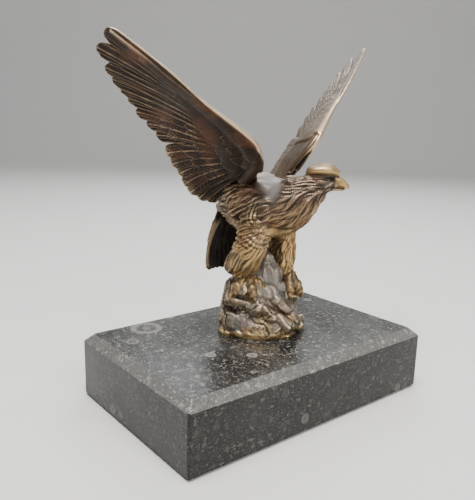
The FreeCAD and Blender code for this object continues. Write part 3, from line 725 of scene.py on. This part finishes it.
def make_wing(side, material, seed):
    """Sculpt the left wing; the right one is its mirror image, lifted to its own height."""
    parts = [blade(feather, i) for i, feather in enumerate(FLIGHT)]
    parts += [wing_arm(rows) for rows in ARMS]
    skin = fused(parts, voxel=0.43)
    wing_relief(skin)
    skin.raise_all()
    skin.rise[:] = 0
    wing_coverts(skin, UNDER_ROWS, -1, seed)
    wing_coverts(skin, UPPER_ROWS, 1, seed + 1)
    skin.raise_all()
    skin.p += skin.n * (0.12 * lumps(skin.p, 6, seed))[:, None]
    x, y, _ = wing_from_frame(skin.p)
    facing = skin.n @ LIFT_WAY
    # Painted shade on the underside, which faces down, and a faint painted sheen on the upper side.
    skin.shade += np.where(facing < 0, -0.5 * smooth(2, 8, y) * smooth(0, -0.6, facing),
                           0.05 * smooth(0, 0.7, facing))
    # A painted highlight along the leading edge, gold and pale; the gold tint on the upper faces is a painted
    # highlight too; the inner feathers' tips are rubbed.
    lit_edge = smooth(0.42, 0.82, -(skin.n @ BACK_WAY)) * smooth(9, 5, y)
    skin.tint = 0.95 * lit_edge + 0.5 * smooth(0.55, 1, relief_tip(x, y)) + 0.26 * smooth(0.1, 0.7, facing)
    skin.shade = skin.shade * (1 - lit_edge) + 0.25 * lit_edge
    if side == "left":
        skin.p -= 3.6 * BACK_WAY * (np.exp(-((x - 3) / 15) ** 2) * smooth(16, 0, y))[:, None]
    skin.p += (REACH[side] - 1) * x[:, None] * SPAN_WAY
    skin.p = swung(skin.p, WRIST, -SWEEP[side], 0, 1)
    skin.p = swung(skin.p, bird(0, 14, 95), LIFT[side], 0, 2)
    if side == "right":
        skin.p[:, 0] = 2 * BIRD[0] - skin.p[:, 0]
        skin.q = skin.q[:, ::-1]
    skin.refresh()
    skin.build("wing_" + side, material, side + "_wing_casting")


# ---------------------------------------------------------------- tail
TAIL_TOP = bird(-31.5, 0, 76)
TAIL_FEATHERS = [(k * 2.0, 2 - abs(k) * 0.3, -1.2 * k, k * 4.9, 44 - abs(k) * 0.5, 4.5)
                 for k in (-3, 3, -2, 2, -1, 1, 0)]


def tail_sheet(x, y, z):
    """The fan hangs straight down; its sides come forward, so it is hollow towards the rock."""
    x, y, z = (np.asarray(v, float)[..., None] for v in np.broadcast_arrays(x, y, z))
    forward = x ** 2 / 42 * smooth(4, 24, y) + 1.5 * smooth(26, 50, y) - 7.5 * smooth(2, 28, y)
    return TAIL_TOP + x * (1.0, 0, 0) - y * (0, 0, 1.0) + (z - forward) * (0, 1.0, 0)


def make_tail(material, seed):
    parts = [blade(f, i, tail_sheet, tilt=0.0 if f[0] == 0 else 0.5 * math.copysign(1, f[0]), stout=1.15)
             for i, f in enumerate(TAIL_FEATHERS)]
    parts.append(body_tube([(-27, 0, 75.5, 8.5, 6), (-31, 0, 73, 7.5, 4.6), (-34, 0, 67, 7, 2.8),
                            (-36.5, 0, 60, 8, 1.6)], 5, 24))
    skin = fused(parts, voxel=0.45)
    x, y = skin.p[:, 0] - TAIL_TOP[0], TAIL_TOP[2] - skin.p[:, 2]
    edge = np.interp(y, (6, 14, 22, 33, 44), (7.5, 10.0, 13, 17.3, 18.6))
    rim = smooth(2.6, 1.6, edge - np.abs(x)) * smooth(8, 14, y)
    for f in TAIL_FEATHERS:
        t = np.linspace(0, 1, 30)
        fx, fy = quill(f, t)
        k = np.hypot(x[:, None] - fx, y[:, None] - fy).argmin(axis=1)
        s = (x - fx[k]) / f[5]
        close = np.abs(s) < 0.72
        barbs = np.abs(np.sin(math.pi * (y - np.abs(s) * 5) / 2.3)) - 0.5
        relief = 0.12 * barbs + 0.35 * np.exp(-(s / 0.12) ** 2)
        skin.rise = np.where(close, relief * smooth(10, 16, y), skin.rise)
    skin.rise += 0.7 * skin.spread(rim, 2)
    skin.raise_all()
    skin.rise[:] = 0
    rng = random.Random(seed)
    for row, (depth, length, half) in enumerate(((0, 8, 2.3), (5, 9, 2.6), (10, 10, 2.9), (15, 10, 3.0))):
        for i in range(7):
            across = (i - 3) * (2.9 + 0.25 * row) + rng.uniform(-0.5, 0.5)
            spot = tail_sheet(across, depth + rng.uniform(-0.8, 0.8), 3.0)
            k = skin.tree.find(Vector(spot.reshape(3)))[1]
            way = np.array([across * 0.03, 0, -1.0])
            skin.stamp(skin.p[k], way, skin.n[k], length, half, 0.7, strands=3)
    skin.raise_all()
    skin.p += skin.n * (0.12 * lumps(skin.p, 6, seed))[:, None]
    skin.refresh()
    # Painted shade in the fan's hollow, which faces forward, and a little on the rim, with a painted
    # highlight of gold tint along the rim.
    hollow = smooth(-0.1, 0.3, -skin.n[:, 1]) * (1 - rim)
    skin.shade = skin.spread(-0.95 * hollow - 0.1 * rim, 2)
    skin.tint = 0.3 * rim
    skin.build("tail_fan", material, "tail_casting")


# ---------------------------------------------------------------- the bird itself
HEAD = bird(35.1, 15.7, 96.5)
HEAD_WAY = unit(np.array([0.755, -0.656, 0.0]))
HEAD_SIDE = np.array([HEAD_WAY[1], -HEAD_WAY[0], 0.0])
HEAD_TURN = math.degrees(math.atan2(HEAD_WAY[1], HEAD_WAY[0]))
RIGHT_FOOT = bird(6.6, -15.7, 34)
LEFT_FOOT = bird(11.2, 13.4, 32)


def head(ahead, aside, up):
    """A point given from the head's middle; aside is towards the bird's right cheek."""
    return HEAD + HEAD_WAY * ahead + HEAD_SIDE * aside + np.array([0, 0, up])


def body_tube(rows, steps, around):
    """A tube through rows of forward, left, up, half width, half height."""
    return tube([(*bird(*place), wide, tall) for *place, wide, tall in rows], steps, around)


def head_tube(rows, steps, around):
    """A tube through rows of ahead, aside, up, half width, half height."""
    return tube([(*head(*place), wide, tall) for *place, wide, tall in rows], steps, around, HEAD_SIDE)


def toe(foot, heading, reach, drop, girth):
    """A toe bent over the rock: knuckled, with ring scales left to the relief, and a hooked claw."""
    a = math.radians(heading)
    way = np.array([math.sin(a), -math.cos(a), 0.0])
    points = []
    for share, height, size in TOE:
        place = foot + way * reach * share + (0, 0, height - drop * max(0.0, share - 0.35) / 0.65)
        points.append((*place, girth * size, girth * size))
    end = foot + way * reach + (0, 0, -1.6 - drop)
    claw = [(*(end + way * along + (0, 0, height)), thick, thick)
            for along, height, thick in [(a, h, girth * size) for a, h, size in CLAW] + [CLAW_POINT]]
    return [tube(points, 4, 16), tube(claw, 4, 12)]


TOE = ((0.0, 1.2, 1.0), (0.3, 1.9, 1.1), (0.55, 1.5, 0.95), (0.78, 0.3, 1.08), (1.0, -1.6, 0.85))
CLAW = ((0.4, 0.6, 0.6), (1.5, -1.0, 0.45), (1.6, -3.0, 0.26))
CLAW_POINT = (1.1, -4.4, 0.25)
SHANK = ((0.5, 3, 10, 3.9, 3.9), (0, 1, 5, 3.5, 3.5), (0, 0, 1.6, 3.9, 3.6))
TOES = (  # heading, reach, drop and girth of each toe
    (RIGHT_FOOT, ((-90, 8.0, 2.6, 3.2), (-10, 8.5, 4.0, 3.1), (50, 9.0, 0.5, 2.7), (168, 6.5, 0.5, 2.2))),
    (LEFT_FOOT, ((-28, 6.0, 4.4, 3.2), (46, 7.5, 4.6, 3.5), (105, 7.0, 4.0, 2.7), (200, 6.0, 0.5, 2.2))),
)


def body_parts():
    # torso, then neck and skull
    parts = [body_tube([(-33, 0, 74.5, 7.5, 5.5), (-25, 0, 76.5, 12.5, 10.5), (-11, 0, 77.5, 17, 16),
                        (5, 0, 79, 18, 17.5), (18, 0.5, 80.5, 16.8, 16.4), (26, 3, 84.5, 13.6, 13.6),
                        (30.5, 9, 90, 10.0, 9.8)], 6, 40)]
    parts.append(tube([(*bird(26, 3, 87), 11.8, 11.6), (*bird(31, 9.5, 91.3), 9.6, 8.9),
                       (*head(-5.5, 0, -2.8), 8.0, 6.6), (*head(0, 0, -1.6), 7.0, 5.9),
                       (*head(3.8, 0, -1.2), 5.2, 4.8), (*head(5.4, 0, -1.4), 3.8, 3.8)], 6, 32, HEAD_SIDE))
    # cap, cheeks, upper and lower beak
    parts.append(head_tube([(-9.6, 0, 3.4, 3.6, 1.2), (-6.5, 0, 4.9, 6.6, 2.6), (-1.5, 0, 5.8, 7.9, 3.5),
                            (3.2, 0, 6.0, 7.5, 3.7), (6.6, 0, 4.9, 5.9, 2.8)], 5, 28))
    for cheek in (-1, 1):
        parts.append(ball(head(2.4, 4.6 * cheek, 0.4), (1.5, 1.5, 1.4), (0, 0, HEAD_TURN), 16))
    parts.append(head_tube([(5, 0, 0.1, 3.5, 3.4), (8, 0, -0.3, 2.9, 3.1), (11.2, 0, -1.6, 2.1, 2.2),
                            (13.6, 0, -3.3, 1.2, 1.3), (14.7, 0, -4.8, 0.4, 0.5)], 5, 20))
    parts.append(head_tube([(3, 0, -4.2, 3.2, 1.5), (8, 0, -4.8, 2.3, 1.0), (12, 0, -5.2, 1.2, 0.6)], 4, 16))
    # right and left thigh, the right one's heel, the breast's boss, the fold over the thigh
    parts.append(body_tube([(10, -11, 74, 9, 11), (11.5, -15.5, 63, 8.6, 9.6), (9, -17, 52, 8.2, 9.2),
                            (4, -18, 44.5, 7.6, 7.6), (4, -18, 40, 5, 5)], 5, 32))
    parts.append(body_tube([(7, 8, 73, 9, 11), (5, 12, 60, 8.2, 9.4), (4.5, 13.5, 50, 7.8, 8.8),
                            (6, 14, 41, 6.2, 6.8), (7, 14, 37, 4, 4.4)], 5, 32))
    parts.append(ball(bird(-0.5, -18.5, 45), (5.4, 5.6, 6.8), (24, 0, 0)))
    parts.append(ball(bird(18.5, -12.6, 78.5), (5.2, 6.2, 7.2), (10, 12, -10)))
    parts.append(body_tube([(*place, wide, wide) for place, wide in zip(ROLL, ROLL_HALVES)], 5, 20))
    # back, near shoulder, and the flesh round each wing's root
    parts.append(ball(bird(-3, 0, 91), (13, 18, 7.0), (0, 0, 0), 32))
    parts.append(ball(bird(10, -10.5, 90), (4.5, 9.5, 5.5), (0, 35, 0), 24))
    for side in (-1, 1):
        parts.append(body_tube([(8, 12.5 * side, 87, 4.5, 6), (-1, 13.8 * side, 86.2, 6.4, 7.2),
                                (-12, 13 * side, 82, 5.5, 8), (-20, 9 * side, 79, 4, 6)], 5, 24))
    for foot, toes in TOES:
        parts.append(tube([(*(foot + place), wide, tall) for *place, wide, tall in SHANK], 4, 20))
        for row in toes:
            parts += toe(foot, *row)
    return parts


ROLL = ((-6, -15.5, 69.5), (5, -17.6, 68.4), (15, -15.6, 67.4), (22, -9.5, 67.2), (27, -3, 68.5))
ROLL_HALVES = (2.4, 3.4, 3.6, 3.1, 2.2)
GUIDES = [  # where (forward, left, up), which way the feathers lie there
    ((43, 25, 95), (-0.7, -0.7, -0.15)), ((37, 18, 90), (-0.6, -0.6, -0.5)),
    ((33, 10, 94), (-0.75, -0.6, -0.3)), ((38, 14, 82), (-0.55, -0.35, -0.75)),
    ((31, 2, 74), (-0.6, -0.1, -0.8)), ((22, -14, 80), (-0.9, -0.25, -0.35)),
    ((22, 16, 78), (-0.9, 0.1, -0.45)), ((8, 0, 62), (-1, 0, -0.1)), ((0, -19, 76), (-0.85, 0, -0.5)),
    ((0, 19, 76), (-0.85, 0, -0.5)), ((5, 0, 98), (-1, 0, 0)), ((-25, 0, 84), (-1, 0, -0.2)),
    ((-30, -8, 74), (-0.95, 0, -0.35)), ((-30, 8, 74), (-0.95, 0, -0.35)),
    ((13, -25, 66), (-0.85, 0.1, -0.3)), ((15, -24, 56), (-0.7, 0, -0.65)),
    ((6, -24, 48), (-0.62, -0.1, -0.8)), ((-4, -20, 43), (-0.6, -0.1, -0.8)),
    ((17, -14, 50), (-0.45, 0, -0.9)), ((14, 25, 62), (-0.5, 0, -0.8)),
    ((16, 20, 50), (-0.25, 0.05, -1)), ((8, 18, 42), (-0.4, 0.05, -0.9)), ((18, 10, 52), (-0.2, 0, -1)),
]


def lie(points):
    """The way feathers lie at each point: a blend of the nearest guides."""
    where = np.array([bird(*g[0]) for g in GUIDES])
    ways = unit(np.array([(g[1][1], -g[1][0], g[1][2]) for g in GUIDES]))
    d2 = ((points[:, None, :] - where[None]) ** 2).sum(axis=2)
    weight = 1.0 / (d2 + 12.0) ** 2
    return unit(weight @ ways)


def make_bird(material, seed):
    skin = fused(body_parts(), voxel=0.5, relax=2)
    p = skin.p
    f, l, u = BIRD[1] - p[:, 1], p[:, 0] - BIRD[0], p[:, 2] - TOP
    h = p - HEAD
    ahead, aside, above = h @ HEAD_WAY, h @ HEAD_SIDE, h[:, 2]
    skull = (ahead > -12) & (np.abs(aside) < 10) & (above > -9)
    beak = skull & (ahead > 6.0) & (above < 3.6)
    brow = skull & (above > 1.9) & (ahead > -11) & (ahead < 9.5)
    eye = skull & (ahead > -0.5) & (ahead < 6.5) & (above > 0.2) & (above < 2.3) & (np.abs(aside) > 2.5)
    foot_r = np.linalg.norm(p - RIGHT_FOOT, axis=1)
    foot_l = np.linalg.norm(p - LEFT_FOOT, axis=1)
    ground = np.where(l < 0, RIGHT_FOOT[2], LEFT_FOOT[2])
    feet = (np.minimum(foot_r, foot_l) < 18) & (p[:, 2] < ground + 4.2)
    across = 0.628 * f - 0.778 * np.abs(l)
    saddle = (across > -4) & (across < 10) & (u > 84 + 0.8 * np.abs(across - 6)) & (f < 27) & (f > -3)
    bare = skin.spread(saddle, 20)
    hair = skin.spread((~(beak | brow | eye | feet)), 3) * (1 - 0.95 * bare)
    fold = np.array([bird(*place) for place in spline(ROLL, 6)])
    clear = np.linalg.norm(p[:, None, :] - fold[None], axis=2).min(axis=1)
    roll = smooth(5.0, 3.2, clear) * (skin.n[:, 2] < 0.5)
    hair *= 1 - 0.8 * skin.spread(roll, 4)
    thigh = (u < 66) & ~feet
    ways = lie(p)
    wave = np.stack([lumps(p, 8, 51), lumps(p, 8, 52), lumps(p, 8, 53)], axis=1)
    ways = unit(ways + 0.55 * wave)
    skin.comb(ways, 1.1)
    rng = random.Random(seed)
    for k in skin.scatter(np.where(skull, 2.6, np.where(thigh, 3.6, 4.2)), hair > 0.6, seed):
        fine = max(0.0, 1 - np.linalg.norm(h[k]) / 30)
        length, half, lift = 14 - 8 * fine, 2.7 - 1.3 * fine, 1.15 - 0.55 * fine
        if thigh[k]:
            length, half, lift = 15, 2.5, 1.25
        root = p[k] - ways[k] * length * 0.35
        skin.stamp(root, ways[k], skin.n[k], length * rng.uniform(0.8, 1.25), half,
                   lift * rng.uniform(0.6, 1.2), round_tip=False, start=0.1, crown=0.5,
                   bend=rng.uniform(-1.0, 1.0), soft=0.8)
    skin.rise = skin.spread(skin.rise, 1)
    skin.rise += 0.38 * skin.strands(2.3, seed, 11) + 0.4 * skin.strands(1.1, seed + 1, 6)
    skin.rise *= hair
    facets = 0.099 * np.abs(ahead - 2.5 - 0.5 * above) * smooth(3, 7, above)
    skin.rise += np.where(brow, facets - 0.35, 0)
    rings = np.minimum(foot_r, foot_l)
    skin.rise += np.where(feet & (rings > 3.0), 0.46 * np.abs(np.sin(math.pi * rings / 2.5)) - 0.2, 0)
    boss = np.linalg.norm((p - bird(18.5, -18, 78)) * (1, 1, 0.8), axis=1)
    behind = smooth(1.5, -2.5, across - 0.35 * (u - 78) + 2.5)
    rippled = np.sin((boss + 0.5 * lumps(p, 6, 71)) * 2 * math.pi / 2.5)
    skin.rise += 0.5 * rippled * smooth(9.5, 6, boss) * behind
    folds = np.sin((u + 0.05 * (f - 8) ** 2 + 1.2 * lumps(p, 7, 81)) * 2 * math.pi / 3.6) * (l < 0)
    skin.rise += 0.34 * folds * smooth(56, 58.5, u) * smooth(66.5, 64, u) * smooth(20, 16, np.abs(f - 6))
    mouth = above + 3.75 + 0.14 * (ahead - 5.5)
    skin.rise -= 0.5 * np.exp(-(mouth / 0.4) ** 2) * (skull & (ahead > 3.5))
    skin.raise_all()
    skin.p += skin.n * (0.10 * lumps(skin.p, 5, seed) * ~beak)[:, None]
    skin.p += (skin.softened(40) - skin.p) * bare[:, None]
    skin.refresh()
    tint = 0.8 * beak + 0.75 * (brow & ~beak) + 0.25 * roll + 0.45 * feet
    tint += thigh * np.where(u < 58, 0.42, 0.15)
    tint += 0.42 * ((f > 4) & ~saddle & ~skull & ~feet) * smooth(90, 68, u) + 0.22 * (f <= 4) * (u > 60)
    skin.tint = skin.spread(tint, 5) * (0.55 + 0.6 * smooth(-0.3, 0.4, lumps(skin.p, 7, 61)))
    # Painted shadow in the eye socket under the brow and painted shade on the inner thigh; the breast beside
    # the boss is darkened a little too.
    red = smooth(5, 2, np.linalg.norm(p - bird(20.5, -17, 78), axis=1))
    inner = (l > 2) & (u < 66) & ~feet & (0.628 * f + 0.778 * l < 13)
    dark = -0.8 * eye - 0.75 * inner - 0.3 * red
    # A pale painted sheen on the saddle between the wings.
    skin.shade = 0.36 * skin.spread(saddle, 30)
    # Painted shade in the fold over the thigh, a darker neck, and a painted highlight on the cap's upward
    # faces.
    neck = smooth(24, 30, f) * smooth(84, 92, u + 0.35 * (f - 30)) * ~(brow | beak | eye)
    crown = brow & ~beak & (skin.n[:, 2] > 0.55)
    skin.shade += skin.spread(dark - 0.16 * neck - 0.08 * roll + 0.3 * crown, 3)
    skin.build("bird_body", material, "bird_casting")


# ---------------------------------------------------------------- rock
def boulder(rng, centre, size):
    """A bevelled block: a stretched ball pushed towards a box."""
    points, faces = ball((0, 0, 0), (1, 1, 1), around=16)
    points = np.sign(points) * np.abs(points) ** 0.62
    points = points * size
    about_x = Matrix.Rotation(rng.uniform(-0.5, 0.5), 3, "X")
    about_y = Matrix.Rotation(rng.uniform(-0.5, 0.5), 3, "Y")
    about_z = Matrix.Rotation(rng.uniform(0, 3.1), 3, "Z")
    return points @ np.array(about_x @ about_y @ about_z).T + centre, faces


ROCK = (5.5, 4.5)                # the rock's middle, x and y
SLABS = (  # along the front, towards the viewer, height, half sizes, slope in degrees
    (-10, 16, 22.5, (11, 8, 2.3), 14), (-13, 14.5, 27, (7, 7, 2.6), -20), (10, 16, 14, (15, 7, 2.3), 33),
    (13, 15, 21, (8, 6, 2.6), 40), (1, 18, 8.5, (10, 5, 3.4), -12), (-14, 15, 9.5, (7, 6, 5), 10),
    (19, 8, 8, (6, 8, 4), 20), (-6, -15, 20, (12, 7, 3), -10), (8, -16, 12, (12, 6, 3), 18),
)


def slab(along, near, height, size, slope):
    """A flat, sharp-edged ledge of rock on the front or back face."""
    points, faces = ball((0, 0, 0), (1, 1, 1), around=24)
    points = np.sign(points) * np.abs(points) ** 0.42 * size
    front = np.array([-0.628, -0.778, 0])
    side = np.array([0.778, -0.628, 0])
    a = math.radians(slope)
    run = side * math.cos(a) - np.array([0, 0, math.sin(a)])
    up = side * math.sin(a) + np.array([0, 0, math.cos(a)])
    centre = np.array([*ROCK, TOP + height]) + side * along + front * near
    return centre + points @ np.array([run, np.cross(up, run), up]), faces


def chipped(points, count, seed):
    """Heights of a broken stone face: flat chips, each with its own tilt."""
    rng = np.random.default_rng(seed)
    sites = points[rng.integers(0, len(points), count)]
    tilts = unit(rng.normal(size=(count, 3)))
    drops = rng.uniform(-0.45, 0.45, count)
    bent = points + 1.2 * np.stack([lumps(points, 5, seed + axis) for axis in range(3)], axis=1)
    owner = ((sites ** 2).sum(axis=1) - 2 * bent @ sites.T).argmin(axis=1)
    return drops[owner] + 0.2 * ((points - sites[owner]) * tilts[owner]).sum(axis=1)


def make_rock(material, seed):
    rng = random.Random(seed)
    parts = [tube([(*ROCK, 43.5, 25.6, 25.2), (*ROCK, 50, 24, 23.6), (*ROCK, 54, 22, 21.5),
                   (*ROCK, 60, 20.5, 20), (*ROCK, 67, 18, 17.5), (7, 3, 74, 14, 13),
                   (9, 1.5, 80.5, 11.5, 10), (9.5, 1, 85.5, 7, 5.5)], 5, 40)]
    for level, reach, count, size in ((42, 21, 12, (7.5, 5.0, 2.6)), (52, 17.5, 9, (8.5, 5.5, 5)),
                                      (60, 16.5, 8, (9, 5.5, 6)), (67, 14.5, 6, (7.5, 5.5, 5))):
        for i in range(count):
            a = 2 * math.pi * (i + rng.uniform(-0.3, 0.3)) / count
            r = reach + rng.uniform(-1.2, 0.8)
            centre = np.array([ROCK[0] + r * math.cos(a), ROCK[1] + r * math.sin(a),
                               level + rng.uniform(-1.6, 1.6)])
            parts.append(boulder(rng, centre, np.array(size) * rng.uniform(0.75, 1.1)))
    parts.append(boulder(rng, RIGHT_FOOT + np.array([1, 0, -5.0]), np.array([8.5, 8, 5.2])))
    parts.append(boulder(rng, LEFT_FOOT + np.array([0, 1, -6.6]), np.array([7.5, 8, 6.2])))
    parts += [slab(*row) for row in SLABS]
    skin = fused(parts, voxel=0.55)
    skin.p[:, 2] = np.maximum(skin.p[:, 2], TOP + 0.02)
    skin.refresh()
    p = skin.p
    keep = smooth(TOP + 0.3, TOP + 2.5, p[:, 2])
    along = 0.778 * (p[:, 0] - 6) - 0.628 * (p[:, 1] - 3)
    mound = smooth(-7, -3, along) * smooth(18, 15, along) * smooth(TOP + 19, TOP + 27, p[:, 2])
    chips = skin.spread(chipped(p, 130, seed), 1)
    skin.comb(np.tile((0.15, 0, -1.0), (len(p), 1)), 1.1)
    skin.rise = keep * ((1.1 * chips + 0.4 * (ridges(p, 9, 5) - 0.45)) * (1 - 0.8 * mound)
                        + 0.22 * ridges(p, 2.8, 8) * (1 - mound)
                        + 0.2 * (ridges(p * (1, 1, 0.45), 4.5, 12) - 0.4) * smooth(TOP + 11, TOP + 8, p[:, 2])
                        + 0.7 * mound * skin.strands(4, 6, 14)
                        + 0.16 * lumps(p, 1.3, 9))
    skin.raise_all()
    foot = smooth(TOP + 6, TOP + 1.5, skin.p[:, 2])
    low = smooth(TOP + 14, TOP + 6, skin.p[:, 2])
    rubbed = (0.4 + 0.15 * low) * (lumps(skin.p, 9, 4) > 0.05 - 0.12 * low) * (1 - mound)
    skin.tint = skin.spread(0.85 * foot + rubbed, 3)
    skin.shade = 0.5 * mound + 0.42 * (1 - foot) * (1 - mound) * smooth(-0.25, 0.3, lumps(skin.p, 11, 7))
    skin.build("rock_foot", material, "rock_casting")


# ---------------------------------------------------------------- assembly
body_bronze = bronze("body_bronze", dark=(0.006, 0.004, 0.003), mid=(0.052, 0.031, 0.019),
                     worn=(0.44, 0.31, 0.20), rub_and_highlight=(0.64, 0.42, 0.17), grey=0.35)
wing_bronze = bronze("wing_bronze", dark=(0.006, 0.004, 0.003), mid=(0.034, 0.020, 0.013),
                     worn=(0.23, 0.155, 0.092), rub_and_highlight=(0.74, 0.54, 0.33), grey=0.12)
rock_bronze = bronze("rock_bronze", dark=(0.020, 0.014, 0.010), mid=(0.21, 0.165, 0.115),
                     worn=(0.62, 0.49, 0.33), rub_and_highlight=(0.78, 0.54, 0.24), grey=0.7)

make_wing("left", wing_bronze, 11)
make_wing("right", wing_bronze, 12)
make_tail(wing_bronze, 21)
make_bird(body_bronze, 31)
make_rock(rock_bronze, 41)


def dress(nodes, material):
    for node in nodes:
        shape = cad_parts[node]
        shape.data.materials.clear()
        shape.data.materials.append(material)


dress(("stone_plinth",), fossil_stone())
dress(("felt_sheet",), black_felt())
dress(("fixing_stud", "fixing_washer", "fixing_nut", "right_foot_stud", "left_foot_stud", "foot_washers",
       "foot_nuts", "left_wing_pin", "right_wing_pin", "tail_pin"), plated_steel())


# ---------------------------------------------------------------- floor, light, camera
AWAY = unit(np.array([0.61273, 0.75959, 0.0]))       # level, from the camera to the statuette
FLOOR_REACH, FLOOR_HALF, SWEEP_RADIUS, BACKDROP = 2.5, 3.0, 0.8, 3.0
SWEEP_STARTS, FLOOR_DROP = 1.6, 0.0003
CAMERA_PLACE = (-0.22969, -0.26341, 0.16954)
YAW, PITCH, ROLL_ANGLE = (math.radians(a) for a in (38.892, 12.5997, 1.4627))
LENS, SENSOR = 42.26, 36
SOFTBOXES = (  # place, what it is aimed at, size, watts, colour
    ("key", (-0.2, -0.15, 1.25), (0, 0, 0.12), (0.75, 0.75), 26, (1, 1, 1)),
    ("fill", (-0.1, -1.2, 0.85), (0, 0, 0.10), (0.9, 0.6), 10, (1.0, 0.97, 0.93)),
    ("rim", (0.7, 0.75, 0.9), (0, 0, 0.15), (0.8, 0.6), 8, (0.92, 0.96, 1.0)),
)
SKY, SKY_STRENGTH = (0.86, 0.90, 0.96, 1), 0.36


def pale_floor():
    m = Nodes("pale_floor")
    pale = (0.78, 0.76, 0.73)
    m.to("Base Color", m.mix(m.noise(9.0, 3), tuple(0.97 * c for c in pale), pale))
    m.to("Roughness", 0.7)
    return m.material


def make_floor():
    """A pale sweep: flat under the statuette and curving up far behind it."""
    aside = np.array([AWAY[1], -AWAY[0], 0.0])
    profile = [(-FLOOR_REACH, 0.0), (SWEEP_STARTS, 0.0)]
    for a in np.linspace(0.1, math.pi / 2, 12):
        profile.append((SWEEP_STARTS + SWEEP_RADIUS * math.sin(a), SWEEP_RADIUS - SWEEP_RADIUS * math.cos(a)))
    profile.append((SWEEP_STARTS + SWEEP_RADIUS, BACKDROP))
    points = np.array([AWAY * d + aside * s + (0, 0, h - FLOOR_DROP)
                       for d, h in profile for s in (-FLOOR_HALF, FLOOR_HALF)])
    faces = [(2 * i, 2 * i + 1, 2 * i + 3, 2 * i + 2) for i in range(len(profile) - 1)]
    meshed("floor", points, faces, pale_floor())


def softbox(name, place, aim, size, power, colour):
    lamp = bpy.data.lights.new(name, "AREA")
    lamp.shape = "RECTANGLE"
    lamp.size, lamp.size_y = size
    lamp.energy = power
    lamp.color = colour
    light = placed(name, lamp)
    light.location = place
    light.rotation_euler = (Vector(aim) - Vector(place)).to_track_quat("-Z", "Y").to_euler()


def make_camera():
    right = Vector((math.cos(YAW), -math.sin(YAW), 0))
    level = Vector((math.sin(YAW) * math.cos(PITCH), math.cos(YAW) * math.cos(PITCH), -math.sin(PITCH)))
    up = right.cross(level)
    rolled_right = math.cos(ROLL_ANGLE) * right + math.sin(ROLL_ANGLE) * up
    rolled_up = -math.sin(ROLL_ANGLE) * right + math.cos(ROLL_ANGLE) * up
    data = bpy.data.cameras.new("camera")
    data.lens = LENS
    data.sensor_width = SENSOR
    camera = placed("camera", data)
    turn = Matrix((rolled_right, rolled_up, -level)).transposed()
    camera.matrix_world = Matrix.Translation(CAMERA_PLACE) @ turn.to_4x4()
    bpy.context.scene.camera = camera


def make_world():
    world = bpy.data.worlds.new("studio")
    bpy.context.scene.world = world
    world.use_nodes = True
    sky = world.node_tree.nodes["Background"]
    sky.inputs["Color"].default_value = SKY
    sky.inputs["Strength"].default_value = SKY_STRENGTH


make_floor()
make_world()
for row in SOFTBOXES:
    softbox(*row)
make_camera()
